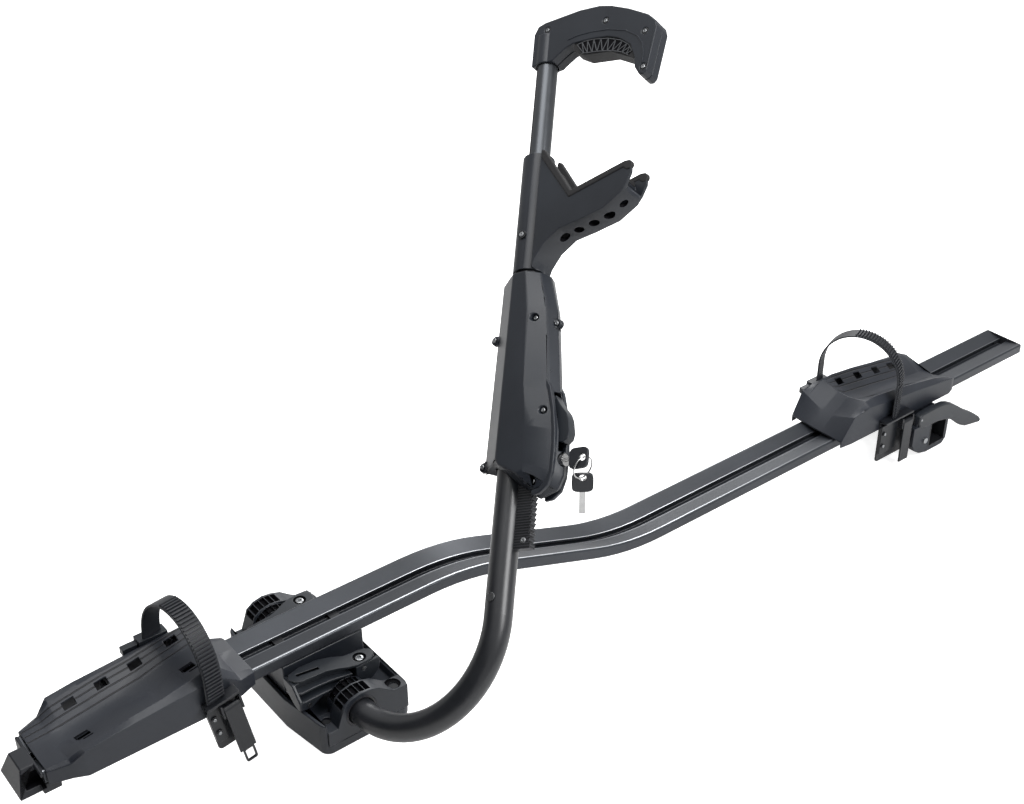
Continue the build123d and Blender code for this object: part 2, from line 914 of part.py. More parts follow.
# The arm tube: in through the bush, round the bend and straight up
pin_slot_low = slide_pin_along - slide_travel - slide_pin_radius - 2 * moving_gap
pin_slot_high = slide_pin_along + slide_pin_radius + 2 * moving_gap
pin_slot_half = slide_pin_radius + moving_gap
bend_middle = pivot_point + lean_line * arm_bend_radius
bend_centre_line = bend_middle - lean_line * (arm_bend_radius * cos(radians(arm_turn / 2)))
bend_mid_point = bend_centre_line - across * (arm_bend_radius * sin(radians(arm_turn / 2)))
with BuildPart() as arm_tube:
    with BuildLine() as arm_path:
        Line(pivot_point + across * tube_inside, pivot_point)
        ThreePointArc(pivot_point, bend_mid_point, tube_foot)
        Line(tube_foot, arm_point(0, straight_length))
    with BuildSketch(
        Plane(origin=pivot_point + across * tube_inside, x_dir=(1, 0, 0), z_dir=(0, -1, 0))
    ):
        Circle(tube_radius)
        Circle(tube_radius - tube_wall, mode=Mode.SUBTRACT)
    sweep(path=arm_path.line)
    with BuildSketch(reach_section(0, (pin_slot_low + pin_slot_high) / 2)):
        Rectangle(pin_slot_high - pin_slot_low, 2 * pin_slot_half)
    extrude(amount=-2 * tube_radius, mode=Mode.SUBTRACT)
    with BuildSketch(side_section(0, stop_rivet_along)):
        Circle(stop_rivet_radius + seat_gap)
    extrude(amount=2 * tube_radius, mode=Mode.SUBTRACT)
arm_tube.part.label = "arm_tube"
export_step(arm_tube.part, "parts/arm_tube.step")

# The plug and collar that keep the arm in its bush
retainer_plane = Plane(
    origin=pivot_point + across * tube_inside, x_dir=(1, 0, 0), z_dir=(0, -1, 0)
)
with BuildPart() as arm_retainer:
    with BuildSketch(retainer_plane):
        Circle(tube_radius - tube_wall - seat_gap)
    extrude(amount=retainer_plug)
    with BuildSketch(retainer_plane):
        Circle(retainer_radius)
    extrude(amount=-retainer_flange)
arm_retainer.part.label = "arm_retainer"
export_step(arm_retainer.part, "parts/arm_retainer.step")

# The stop rivet in the side of the tube
with BuildPart() as tube_rivet:
    with BuildSketch(side_section(0, stop_rivet_along, tube_radius - tube_wall)):
        Circle(stop_rivet_radius)
    extrude(amount=tube_wall + stop_rivet_head)
    with BuildSketch(side_section(0, stop_rivet_along, tube_radius + seat_gap)):
        Circle(stop_rivet_radius + stop_rivet_head)
    extrude(amount=stop_rivet_head)
tube_rivet.part.label = "tube_rivet"
export_step(tube_rivet.part, "parts/tube_rivet.step")

# The toothed rack: a fin along the tube with teeth on its crest
tooth_count = int((rack_high - rack_low - 2 * rack_pitch) / rack_pitch)
crest_points = [(0, rack_low), (rack_crest, rack_low)]
for tooth in range(tooth_count):
    crest_points.append((rack_crest, rack_low + rack_pitch * (tooth + 1)))
    crest_points.append((rack_crest - rack_tooth, rack_low + rack_pitch * (tooth + 1)))
crest_points.append((rack_crest, rack_low + rack_pitch * (tooth_count + 1)))
crest_points.append((rack_crest, rack_high))
crest_points.append((0, rack_high))
with BuildPart() as toothed_rack:
    with BuildSketch(arm_plane):
        with BuildLine():
            Polyline(*crest_points, close=True)
        make_face()
    extrude(amount=rack_half_width, both=True)
    with BuildSketch(arm_section(0)):
        Circle(tube_radius + seat_gap / 2)
    extrude(amount=straight_length, mode=Mode.SUBTRACT)
    for screw_along in (rack_screw_low, rack_screw_high):
        with BuildSketch(side_section(rack_screw_reach, screw_along)):
            Circle(rack_screw_radius + fit_gap)
        extrude(amount=rack_half_width, both=True, mode=Mode.SUBTRACT)
        with BuildSketch(side_section(rack_screw_reach, screw_along, rack_half_width)):
            Circle(rack_screw_head + fit_gap)
        extrude(amount=-rack_screw_radius, mode=Mode.SUBTRACT)
toothed_rack.part.label = "toothed_rack"
export_step(toothed_rack.part, "parts/toothed_rack.step")

# The two screws in the rack's ends, sunk below its faces
with BuildPart() as rack_screws:
    for screw_along in (rack_screw_low, rack_screw_high):
        with BuildSketch(side_section(rack_screw_reach, screw_along, -rack_half_width)):
            Circle(rack_screw_radius)
        extrude(amount=2 * rack_half_width - rack_screw_radius)
        with BuildSketch(
            side_section(rack_screw_reach, screw_along, rack_half_width - rack_screw_radius)
        ):
            Circle(rack_screw_head)
        extrude(amount=rack_screw_radius)
rack_screws.part.label = "rack_screws"
export_step(rack_screws.part, "parts/rack_screws.step")

# The lower jaw: a collar on the tube, two side plates and a floor between them
jaw_shares = [
    (0.112, 1.0),
    (0.144, 0.945),
    (0.424, 0.531),
    (0.952, 0.664),
    (1.0, 0.633),
    (1.0, 0.594),
    (0.96, 0.508),
    (0.912, 0.445),
    (0.76, 0.352),
    (0.544, 0.305),
    (0.352, 0.273),
    (0.216, 0.18),
    (0.136, 0.07),
    (0.112, 0.0),
]
floor_shares = [(0.12, 0.9), (0.19, 0.8), (0.424, 0.47), (0.9, 0.59)]
floor_low_shares = [(0.9, 0.565), (0.424, 0.44), (0.17, 0.79), (0.1, 0.89)]
band_shares = [
    (0.93, 0.47),
    (0.91, 0.484),
    (0.896, 0.463),
    (0.75, 0.374),
    (0.539, 0.328),
    (0.342, 0.295),
    (0.198, 0.197),
    (0.116, 0.08),
    (0.112, 0.0),
]
band_hole_shares = [(0.33, 0.27), (0.46, 0.3), (0.6, 0.33), (0.74, 0.36)]
jaw_outer = jaw_plate_inner + jaw_plate
with BuildPart() as jaw_body:
    with BuildSketch(arm_section(jaw_low)):
        Circle(jaw_collar_radius)
    extrude(amount=jaw_rise)
    with BuildSketch(arm_plane):
        with BuildLine():
            Polyline(*spread(jaw_shares, jaw_reach, jaw_rise, jaw_low), close=True)
        make_face()
    extrude(amount=jaw_outer, both=True)
    with BuildSketch(arm_plane):
        with BuildLine():
            Polyline(
                *spread(jaw_shares[:7] + band_shares, jaw_reach, jaw_rise, jaw_low), close=True
            )
        make_face()
        with BuildLine():
            Polyline(*spread(floor_shares + floor_low_shares, jaw_reach, jaw_rise, jaw_low), close=True)
        make_face(mode=Mode.SUBTRACT)
    extrude(amount=jaw_plate_inner, both=True, mode=Mode.SUBTRACT)
    for point in spread(band_hole_shares, jaw_reach, jaw_rise, jaw_low):
        with BuildSketch(
            Plane(origin=arm_point(point[0], point[1]), x_dir=reach_line, z_dir=tube_line)
        ):
            Circle(jaw_hole_radius)
        extrude(amount=2 * jaw_hole_radius, both=True, mode=Mode.SUBTRACT)
    with BuildSketch(arm_section(jaw_low)):
        Circle(jaw_collar_radius)
    extrude(amount=jaw_rise)
    with BuildSketch(arm_section(jaw_low)):
        Circle(tube_radius + seat_gap)
    extrude(amount=jaw_rise + jaw_floor, mode=Mode.SUBTRACT)
    with BuildSketch(side_section(0, jaw_screw_along)):
        Circle(jaw_screw_radius + fit_gap)
    extrude(amount=2 * jaw_collar_radius, mode=Mode.SUBTRACT)
jaw_body.part.label = "jaw_body"
export_step(jaw_body.part, "parts/jaw_body.step")

# The rubber pad on the jaw's floor
pad_shares = [(0.2, 0.86), (0.434, 0.505), (0.9, 0.625)]
with BuildPart() as jaw_pad:
    with BuildSketch(arm_plane):
        with BuildLine():
            Polyline(
                *spread(pad_shares, jaw_reach, jaw_rise, jaw_low),
                *spread([floor_shares[3], floor_shares[2]], jaw_reach, jaw_rise, jaw_low),
                *spread([floor_shares[1]], jaw_reach, jaw_rise, jaw_low),
                close=True,
            )
        make_face()
    extrude(amount=jaw_plate_inner - fit_gap, both=True)
jaw_pad.part.label = "jaw_pad"
export_step(jaw_pad.part, "parts/jaw_pad.step")

# The screw that clamps the jaw's collar to the tube
with BuildPart() as jaw_screw:
    with BuildSketch(side_section(0, jaw_screw_along, tube_radius + seat_gap)):
        Circle(jaw_screw_radius)
    extrude(amount=jaw_collar_radius - tube_radius - seat_gap)
    with BuildSketch(side_section(0, jaw_screw_along, jaw_collar_radius)):
        Circle(jaw_screw_head)
    extrude(amount=jaw_screw_proud)
jaw_screw.part.label = "jaw_screw"
export_step(jaw_screw.part, "parts/jaw_screw.step")

# The inner tube that slides in the arm tube and carries the hook
with BuildPart() as inner_tube:
    with BuildSketch(arm_section(inner_low)):
        Circle(inner_radius)
        Circle(inner_radius - inner_wall, mode=Mode.SUBTRACT)
    extrude(amount=inner_high - inner_low)
    with BuildSketch(reach_section(0, slide_pin_along)):
        Circle(slide_pin_radius + seat_gap)
    extrude(amount=-2 * inner_radius, mode=Mode.SUBTRACT)
inner_tube.part.label = "inner_tube"
export_step(inner_tube.part, "parts/inner_tube.step")

# The hook's two halves: a socket on the inner tube and an arch over the frame tube
hook_shares = [
    (-0.096, 0.0),
    (-0.096, 0.769),
    (-0.064, 0.942),
    (0.0, 0.985),
    (0.312, 1.0),
    (0.489, 0.942),
    (0.596, 0.846),
    (0.752, 0.635),
    (0.922, 0.346),
    (0.986, 0.154),
    (1.0, 0.0),
    (0.936, -0.923),
    (0.908, -0.99),
    (0.872, -0.971),
    (0.83, -0.769),
    (0.823, -0.538),
    (0.78, -0.212),
    (0.688, 0.0),
    (0.582, 0.135),
    (0.44, 0.212),
    (0.277, 0.25),
    (0.206, 0.192),
    (0.135, 0.077),
    (0.096, 0.0),
]
hook_screw_shares = [(0.026, 0.785), (0.553, 0.53), (0.9, -0.02), (0.904, -0.823)]


def hook_half(hand):
    """One half of the hook, on one side of the arm's middle plane."""
    with BuildPart() as half:
        with BuildSketch(arm_plane):
            with BuildLine():
                Polyline(*spread(hook_shares, hook_reach, hook_rise, hook_base), close=True)
            make_face()
        extrude(amount=hand * hook_half_width)
        with BuildSketch(arm_section(hook_base)):
            Circle(hook_socket_radius)
            with Locations((0, hand * hook_socket_radius)):
                Rectangle(2 * hook_socket_radius, 2 * hook_socket_radius, mode=Mode.SUBTRACT)
        extrude(amount=hook_rise * 0.7)
        with BuildSketch(arm_section(hook_base)):
            Circle(inner_radius + seat_gap)
        extrude(amount=inner_high - hook_base, mode=Mode.SUBTRACT)
        for point in spread(hook_screw_shares, hook_reach, hook_rise, hook_base):
            with BuildSketch(side_section(point[0], point[1])):
                Circle(hook_screw_radius + seat_gap)
            extrude(amount=hook_half_width, both=True, mode=Mode.SUBTRACT)
            with BuildSketch(side_section(point[0], point[1], hook_half_width)):
                Circle(hook_screw_head + seat_gap)
            extrude(amount=-hook_screw_head_depth, mode=Mode.SUBTRACT)
    return half.part


with BuildPart() as hook_near:
    add(hook_half(1))
hook_near.part.label = "hook_near"
export_step(hook_near.part, "parts/hook_near.step")

with BuildPart() as hook_far:
    add(hook_half(-1))
hook_far.part.label = "hook_far"
export_step(hook_far.part, "parts/hook_far.step")

# The rubber lining of the hook: a skin on zigzag webs
lining_shares = [
    (0.277, 0.25),
    (0.44, 0.212),
    (0.582, 0.135),
    (0.688, 0.0),
    (0.78, -0.212),
    (0.823, -0.538),
    (0.81, -0.538),
    (0.61, -0.212),
    (0.376, -0.096),
    (0.277, 0.077),
]
web_shares = [
    [(0.31, 0.2), (0.4, 0.18), (0.36, 0.0)],
    [(0.42, 0.17), (0.52, 0.12), (0.5, -0.08), (0.39, -0.02)],
    [(0.54, 0.11), (0.62, 0.03), (0.59, -0.13), (0.52, -0.08)],
    [(0.64, 0.0), (0.7, -0.1), (0.62, -0.14)],
    [(0.72, -0.14), (0.765, -0.25), (0.75, -0.36), (0.66, -0.2)],
]
with BuildPart() as hook_pad:
    with BuildSketch(arm_plane):
        with BuildLine():
            Polyline(*spread(lining_shares, hook_reach, hook_rise, hook_base), close=True)
        make_face()
        for web in web_shares:
            with BuildLine():
                Polyline(*spread(web, hook_reach, hook_rise, hook_base), close=True)
            make_face(mode=Mode.SUBTRACT)
    extrude(amount=hook_pad_half_width, both=True)
hook_pad.part.label = "hook_pad"
export_step(hook_pad.part, "parts/hook_pad.step")

# The screws through the hook's halves
with BuildPart() as hook_screws:
    for point in spread(hook_screw_shares, hook_reach, hook_rise, hook_base):
        with BuildSketch(side_section(point[0], point[1], -hook_half_width)):
            Circle(hook_screw_radius)
        extrude(amount=2 * hook_half_width - hook_screw_head_depth)
        with BuildSketch(
            side_section(point[0], point[1], hook_half_width - hook_screw_head_depth)
        ):
            Circle(hook_screw_head)
        extrude(amount=hook_screw_head_depth * 0.8)
hook_screws.part.label = "hook_screws"
export_step(hook_screws.part, "parts/hook_screws.step")

# The sliding housing: outlines at the seam, at the shoulder and on the crown
seam_shares = [
    (-0.5, 1.0),
    (0.452, 1.0),
    (0.645, 0.823),
    (0.806, 0.461),
    (0.984, 0.263),
    (1.0, 0.091),
    (0.903, 0.03),
    (0.597, 0.0),
    (-0.081, 0.108),
    (-0.532, 0.147),
]
shoulder_shares = [
    (-0.258, 1.0),
    (0.387, 1.0),
    (0.565, 0.823),
    (0.726, 0.461),
    (0.887, 0.272),
    (0.903, 0.099),
    (0.823, 0.047),
    (0.581, 0.026),
    (-0.032, 0.121),
    (-0.274, 0.155),
]
crown_shares = [
    (-0.048, 1.0),
    (0.194, 1.0),
    (0.29, 0.823),
    (0.355, 0.461),
    (0.452, 0.289),
    (0.484, 0.134),
    (0.452, 0.099),
    (0.355, 0.091),
    (0.0, 0.138),
    (-0.065, 0.168),
]
housing_middle = (0.2 * housing_width, housing_low + 0.5 * housing_rise)
housing_screw_shares = [(0.4, 0.78), (0.68, 0.36), (0.59, 0.06)]
ear_shares = [(-0.532, 0.741), (-0.532, 0.168), (0.677, 0.763)]
trigger_low = trigger_pivot_along - trigger_length


def housing_loft(hand, share):
    """The housing's solid on one side, drawn in by a share for the hollow."""
    with BuildPart() as shape:
        for outline_shares, depth in (
            (seam_shares, 0),
            (shoulder_shares, housing_shoulder),
            (crown_shares, housing_half_depth),
        ):
            outline = spread(outline_shares, housing_width, housing_rise, housing_low)
            with BuildSketch(side_section(0, 0, hand * share * depth)):
                with BuildLine():
                    Polyline(*toward_middle(outline, housing_middle, share), close=True)
                make_face()
        loft(ruled=True)
    return shape.part


def housing_half(hand):
    """One half of the housing with its hollow, seats and openings."""
    with BuildPart() as core:
        add(housing_loft(hand, housing_core_share))
        with BuildSketch(arm_section(guide_low - guide_length / 4)):
            Rectangle(2 * guide_radius + guide_length / 2, 2 * housing_half_depth)
        extrude(amount=guide_length * 1.5, mode=Mode.SUBTRACT)
        for point in spread(housing_screw_shares, housing_width, housing_rise, housing_low):
            with BuildSketch(side_section(point[0], point[1], hand * housing_post_start)):
                Circle(housing_screw_head + housing_post_wall)
            extrude(amount=hand * housing_half_depth, mode=Mode.SUBTRACT)
    with BuildPart() as half:
        add(housing_loft(hand, 1))
        add(core.part, mode=Mode.SUBTRACT)
        for point in spread(ear_shares, housing_width, housing_rise, housing_low):
            with BuildSketch(side_section(point[0], point[1])):
                Circle(ear_radius)
            extrude(amount=hand * ear_half)
            with BuildSketch(side_section(point[0], point[1])):
                Circle(ear_screw_radius + seat_gap)
            extrude(amount=ear_half, both=True, mode=Mode.SUBTRACT)
            with BuildSketch(side_section(point[0], point[1], hand * ear_half)):
                Circle(ear_screw_head + seat_gap)
            extrude(amount=hand * 4 * ear_screw_proud, mode=Mode.SUBTRACT)
        with BuildSketch(arm_section(housing_low)):
            Circle(housing_bore)
        extrude(amount=housing_rise, mode=Mode.SUBTRACT)
        for guide_along in (guide_low, guide_high):
            with BuildSketch(arm_section(guide_along - fit_gap)):
                Circle(guide_radius + seat_gap)
            extrude(amount=guide_length + 2 * fit_gap, mode=Mode.SUBTRACT)
        with BuildSketch(arm_plane):
            with Locations((rack_crest / 2, (rack_low + rack_high + slide_travel) / 2)):
                Rectangle(
                    rack_crest + 2 * moving_gap, rack_high + slide_travel - rack_low + 2 * moving_gap
                )
        extrude(amount=rack_half_width + 2 * moving_gap, both=True, mode=Mode.SUBTRACT)
        with BuildSketch(arm_plane):
            with Locations(
                (
                    trigger_pivot_reach + trigger_depth / 2,
                    (trigger_low + trigger_pivot_along) / 2,
                )
            ):
                Rectangle(trigger_depth * 1.5, trigger_length + 4 * pawl_half_width)
        extrude(amount=trigger_half_width + 2 * moving_gap, both=True, mode=Mode.SUBTRACT)
        with BuildSketch(reach_section(lock_face, lock_along)):
            Circle(lock_radius + moving_gap)
        extrude(amount=-(lock_depth + moving_gap), mode=Mode.SUBTRACT)
        for point in (
            (trigger_pivot_reach, trigger_pivot_along),
            (pawl_pivot_reach, pawl_pivot_along),
        ):
            with BuildSketch(side_section(point[0], point[1])):
                Circle(small_pin_radius + seat_gap)
            extrude(amount=small_pin_half_length + fit_gap, both=True, mode=Mode.SUBTRACT)
        for point in spread(housing_screw_shares, housing_width, housing_rise, housing_low):
            with BuildSketch(side_section(point[0], point[1])):
                Circle(housing_screw_radius + seat_gap)
            extrude(amount=housing_screw_half_length, both=True, mode=Mode.SUBTRACT)
            with BuildSketch(side_section(point[0], point[1], housing_screw_half_length)):
                Circle(housing_screw_head + seat_gap)
            extrude(amount=housing_half_depth, mode=Mode.SUBTRACT)
        with BuildSketch(reach_section(0, slide_pin_along)):
            Circle(slide_pin_radius + seat_gap)
        extrude(amount=-slide_pin_outer, mode=Mode.SUBTRACT)
    return half.part


with BuildPart() as housing_near:
    add(housing_half(1))
housing_near.part.label = "housing_near"
export_step(housing_near.part, "parts/housing_near.step")

with BuildPart() as housing_far:
    add(housing_half(-1))
housing_far.part.label = "housing_far"
export_step(housing_far.part, "parts/housing_far.step")

# The screws that hold the housing's halves together, three sunk and three through the ears
with BuildPart() as housing_screws:
    for point in spread(housing_screw_shares, housing_width, housing_rise, housing_low):
        with BuildSketch(side_section(point[0], point[1], -housing_screw_half_length)):
            Circle(housing_screw_radius)
        extrude(amount=2 * housing_screw_half_length)
        with BuildSketch(side_section(point[0], point[1], housing_screw_half_length)):
            Circle(housing_screw_head)
        extrude(amount=housing_screw_radius)
    for point in spread(ear_shares, housing_width, housing_rise, housing_low):
        with BuildSketch(side_section(point[0], point[1], -ear_half)):
            Circle(ear_screw_radius)
        extrude(amount=2 * ear_half)
        with BuildSketch(side_section(point[0], point[1], ear_half)):
            Circle(ear_screw_head)
        extrude(amount=ear_screw_proud)
housing_screws.part.label = "housing_screws"
export_step(housing_screws.part, "parts/housing_screws.step")

# The two bushes that guide the housing on the tube, cut open for the rack
with BuildPart() as guide_bushes:
    for guide_along in (guide_low, guide_high):
        with BuildSketch(arm_section(guide_along)):
            Circle(guide_radius)
            Circle(tube_radius + moving_gap, mode=Mode.SUBTRACT)
            with Locations((guide_radius, 0)):
                Rectangle(
                    2 * guide_radius, 2 * rack_half_width + 4 * moving_gap, mode=Mode.SUBTRACT
                )
        extrude(amount=guide_length)
guide_bushes.part.label = "guide_bushes"
export_step(guide_bushes.part, "parts/guide_bushes.step")

# The pin that ties the inner tube to the housing through the arm tube's slot
with BuildPart() as slide_pin:
    with BuildSketch(reach_section(-slide_pin_inner, slide_pin_along)):
        Circle(slide_pin_radius)
    extrude(amount=slide_pin_inner - slide_pin_outer)
slide_pin.part.label = "slide_pin"
export_step(slide_pin.part, "parts/slide_pin.step")

# The pins on which the release lever and the pawl turn
with BuildPart() as housing_pins:
    for point in (
        (trigger_pivot_reach, trigger_pivot_along),
        (pawl_pivot_reach, pawl_pivot_along),
    ):
        with BuildSketch(side_section(point[0], point[1])):
            Circle(small_pin_radius)
        extrude(amount=small_pin_half_length, both=True)
housing_pins.part.label = "housing_pins"
export_step(housing_pins.part, "parts/housing_pins.step")

# The release lever under the rider's finger
trigger_shares = [
    (-0.15, 0.06),
    (0.12, 0.08),
    (0.38, -0.12),
    (0.8, -0.34),
    (0.94, -0.48),
    (1.05, -0.76),
    (0.98, -0.9),
    (0.74, -0.98),
    (0.46, -0.95),
    (0.34, -0.8),
    (0.3, -0.4),
    (0.1, -0.12),
    (-0.15, -0.09),
]
with BuildPart() as release_trigger:
    with BuildSketch(side_section(trigger_pivot_reach, trigger_pivot_along)):
        with BuildLine():
            Polyline(*spread(trigger_shares, trigger_depth, trigger_length), close=True)
        make_face()
        Circle(small_pin_radius, mode=Mode.SUBTRACT)
    extrude(amount=trigger_half_width, both=True)
    with BuildSketch(side_section(trigger_pivot_reach, trigger_pivot_along)):
        Circle(small_pin_radius + running_gap)
    extrude(amount=2 * trigger_half_width, both=True, mode=Mode.SUBTRACT)
release_trigger.part.label = "release_trigger"
export_step(release_trigger.part, "parts/release_trigger.step")

# The pawl that stands over the rack's teeth
pawl_shares = [
    (-0.1, 0.07),
    (0.05, 0.07),
    (0.05, -0.1),
    (-0.05, -0.75),
    (-0.12, -0.95),
    (-0.225, -1.0),
    (-0.225, -0.88),
    (-0.14, -0.2),
    (-0.14, 0.0),
]
with BuildPart() as ratchet_pawl:
    with BuildSketch(side_section(pawl_pivot_reach, pawl_pivot_along)):
        with BuildLine():
            Polyline(*spread(pawl_shares, pawl_length, pawl_length), close=True)
        make_face()
        Circle(small_pin_radius + running_gap, mode=Mode.SUBTRACT)
    extrude(amount=pawl_half_width, both=True)
ratchet_pawl.part.label = "ratchet_pawl"
export_step(ratchet_pawl.part, "parts/ratchet_pawl.step")

# The lock cylinder and the key that stands in it
with BuildPart() as lock_cylinder:
    with BuildSketch(reach_section(lock_face, lock_along)):
        Circle(lock_radius)
    extrude(amount=-lock_depth)
    with BuildSketch(reach_section(lock_face, lock_along)):
        Rectangle(2 * key_shank_half, key_thickness)
    extrude(amount=-lock_depth / 2, mode=Mode.SUBTRACT)
lock_cylinder.part.label = "lock_cylinder"
export_step(lock_cylinder.part, "parts/lock_cylinder.step")

bow_reach = lock_face + key_shank + key_bow_radius
blade_low = lock_face - lock_depth / 2 + fit_gap
blade_high = bow_reach - key_bow_radius / 2
with BuildPart() as key:
    with BuildSketch(side_section(bow_reach, lock_along)):
        RectangleRounded(2 * key_bow_radius, 2 * key_bow_radius, key_bow_corner)
        with Locations(((blade_low + blade_high) / 2 - bow_reach, 0)):
            Rectangle(blade_high - blade_low, 2 * key_shank_half - 2 * fit_gap)
        with Locations((key_hole_reach - bow_reach, 0)):
            Circle(key_hole_radius, mode=Mode.SUBTRACT)
    extrude(amount=key_thickness / 2 - fit_gap, both=True)
key.part.label = "key"
export_step(key.part, "parts/key.step")

# The ring through the key's bow and the spare key that hangs from it
ring_top = arm_point(key_hole_reach, lock_along)
with BuildPart() as key_ring:
    with Locations(Location(ring_top - Vector(0, 0, ring_radius), (90, 0, 0))):
        Torus(ring_radius, ring_wire)
key_ring.part.label = "key_ring"
export_step(key_ring.part, "parts/key_ring.step")

spare_top = ring_top - Vector(0, 0, 2 * ring_radius)
spare_side = (0.61, 0.79, 0)
with BuildPart() as spare_key:
    with BuildSketch(Plane(origin=spare_top, x_dir=(0, 0, -1), z_dir=spare_side)):
        with Locations((key_bow_radius - 2 * key_hole_radius + key_thickness, 0)):
            RectangleRounded(2 * key_bow_radius, 2 * key_bow_radius, key_bow_corner)
        with Locations((key_bow_radius + spare_shank_length / 2, 0)):
            Rectangle(spare_shank_length + key_bow_radius, spare_shank_width)
        Circle(key_hole_radius, mode=Mode.SUBTRACT)
    extrude(amount=key_thickness / 2, both=True)
spare_key.part.label = "spare_key"
export_step(spare_key.part, "parts/spare_key.step")

# The wheel trays: one thin shell each, drawn through cross-sections along the rail
front_tray_shares = [
    (0.0, 0.727, 0.029, 0.636, 0.074, 0.044),
    (0.097, 0.864, 0.088, 0.75, 0.176, 0.074),
    (0.159, 1.0, 0.441, 0.818, 0.382, 0.088),
    (0.29, 1.0, 0.544, 0.818, 0.529, 0.206),
    (0.406, 1.0, 0.588, 0.818, 0.647, 0.324),
    (0.541, 1.0, 0.647, 0.818, 0.735, 0.441),
    (0.671, 1.0, 0.706, 0.818, 0.882, 0.676),
    (0.802, 1.0, 0.735, 0.773, 1.0, 0.853),
    (0.918, 0.864, 0.118, 0.614, 0.176, 0.162),
    (1.0, 0.727, 0.02, 0.591, 0.085, 0.075),
]
rear_tray_shares = [
    (0.0, 0.955, 0.089, 0.773, 0.089, 0.068),
    (0.08, 1.0, 0.756, 0.773, 0.667, 0.444),
    (0.204, 1.0, 0.844, 0.818, 0.978, 0.844),
    (0.279, 1.0, 0.8, 0.818, 1.0, 0.578),
    (0.465, 1.0, 0.689, 0.818, 0.889, 0.444),
    (0.646, 1.0, 0.6, 0.818, 0.733, 0.311),
    (0.823, 1.0, 0.489, 0.818, 0.578, 0.178),
    (0.947, 1.0, 0.422, 0.818, 0.4, 0.11),
    (1.0, 0.909, 0.311, 0.773, 0.267, 0.08),
]


def tray_shell(stations, left, length, rise, skirt, top):
    """A tray's shell: the outline of its cross-section is carried through the stations."""
    with BuildPart() as shell:
        for along, wall_y, wall_z, rim_y, rim_z, floor_z in stations:
            outer = [
                (wall_y * tray_half, -skirt),
                (wall_y * tray_half, wall_z * rise),
                (rim_y * tray_half, rim_z * rise),
                (tray_floor_half, floor_z * rise),
            ]
            inner = [
                (tray_floor_half, floor_z * rise - tray_wall),
                (rim_y * tray_half, rim_z * rise - tray_wall),
                (wall_y * tray_half - tray_wall, wall_z * rise - tray_wall),
                (wall_y * tray_half - tray_wall, -skirt),
            ]
            left_half = outer + [(-y, z) for y, z in reversed(outer)]
            right_half = [(-y, z) for y, z in reversed(inner)] + inner
            station_plane = Plane(
                origin=(left + along * length, 0, top), x_dir=(0, 1, 0), z_dir=(1, 0, 0)
            )
            with BuildSketch(station_plane):
                with BuildLine():
                    Polyline(*left_half, *right_half, close=True)
                make_face()
        loft(ruled=True)
    return shell.part


def tray_sole(top, gap, ribs, bolts_x):
    """The sole on the rail and the two ribs that join it to the shell."""
    with BuildPart() as sole:
        with Locations(((ribs[0][0] + ribs[1][0]) / 2, 0, top + gap)):
            Box(
                ribs[1][0] - ribs[0][0],
                2 * sole_half,
                sole_thickness,
                align=(Align.CENTER, Align.CENTER, Align.MIN),
            )
        for rib_x, rib_height in ribs:
            with Locations((rib_x, 0, top + gap)):
                Box(
                    tray_rib,
                    2 * (tray_half - tray_wall / 2),
                    rib_height - gap,
                    align=(Align.CENTER, Align.CENTER, Align.MIN),
                )
        for bolt_x in bolts_x:
            with Locations((bolt_x, 0, top)):
                Cylinder(tray_bolt_radius + fit_gap, 4 * sole_thickness, mode=Mode.SUBTRACT)
    return sole.part


with BuildPart() as front_tray:
    add(
        tray_shell(
            front_tray_shares,
            front_tray_left,
            front_tray_length,
            front_tray_rise,
            front_tray_skirt,
            rail_top,
        )
    )
    add(
        tray_sole(
            rail_top,
            0,
            ((front_rib_low, front_rib_low_height), (front_rib_high, front_rib_high_height)),
            front_tray_bolts_x,
        )
    )
    for window_x in front_windows_x:
        with Locations((window_x, window_y, rail_top + sole_thickness + fit_gap)):
            Box(
                window_length,
                window_width,
                2 * front_tray_rise,
                align=(Align.CENTER, Align.CENTER, Align.MIN),
                mode=Mode.SUBTRACT,
            )
    for slit_x in front_slits_x:
        with Locations((slit_x, -slit_y, rail_top + sole_thickness + fit_gap)):
            Box(
                window_length,
                slit_width,
                2 * front_tray_rise,
                align=(Align.CENTER, Align.CENTER, Align.MIN),
                mode=Mode.SUBTRACT,
            )
front_tray.part.label = "front_tray"
export_step(front_tray.part, "parts/front_tray.step")

with BuildPart() as rear_tray:
    add(
        tray_shell(
            rear_tray_shares,
            rear_tray_left,
            rear_tray_length,
            rear_tray_rise,
            rear_tray_skirt,
            rear_top,
        )
    )
    add(
        tray_sole(
            rear_top,
            moving_gap,
            ((rear_rib_low, rear_rib_low_height), (rear_rib_high, rear_rib_high_height)),
            rear_tray_bolts_x,
        )
    )
    for window_x in rear_windows_x:
        with Locations((window_x, window_y, rear_top + sole_thickness + 2 * moving_gap)):
            Box(
                window_length,
                window_width,
                2 * rear_tray_rise,
                align=(Align.CENTER, Align.CENTER, Align.MIN),
                mode=Mode.SUBTRACT,
            )
    for slit_x in rear_slits_x:
        with Locations((slit_x, -slit_y, rear_top + sole_thickness + 2 * moving_gap)):
            Box(
                window_length,
                slit_width,
                2 * rear_tray_rise,
                align=(Align.CENTER, Align.CENTER, Align.MIN),
                mode=Mode.SUBTRACT,
            )
rear_tray.part.label = "rear_tray"
export_step(rear_tray.part, "parts/rear_tray.step")


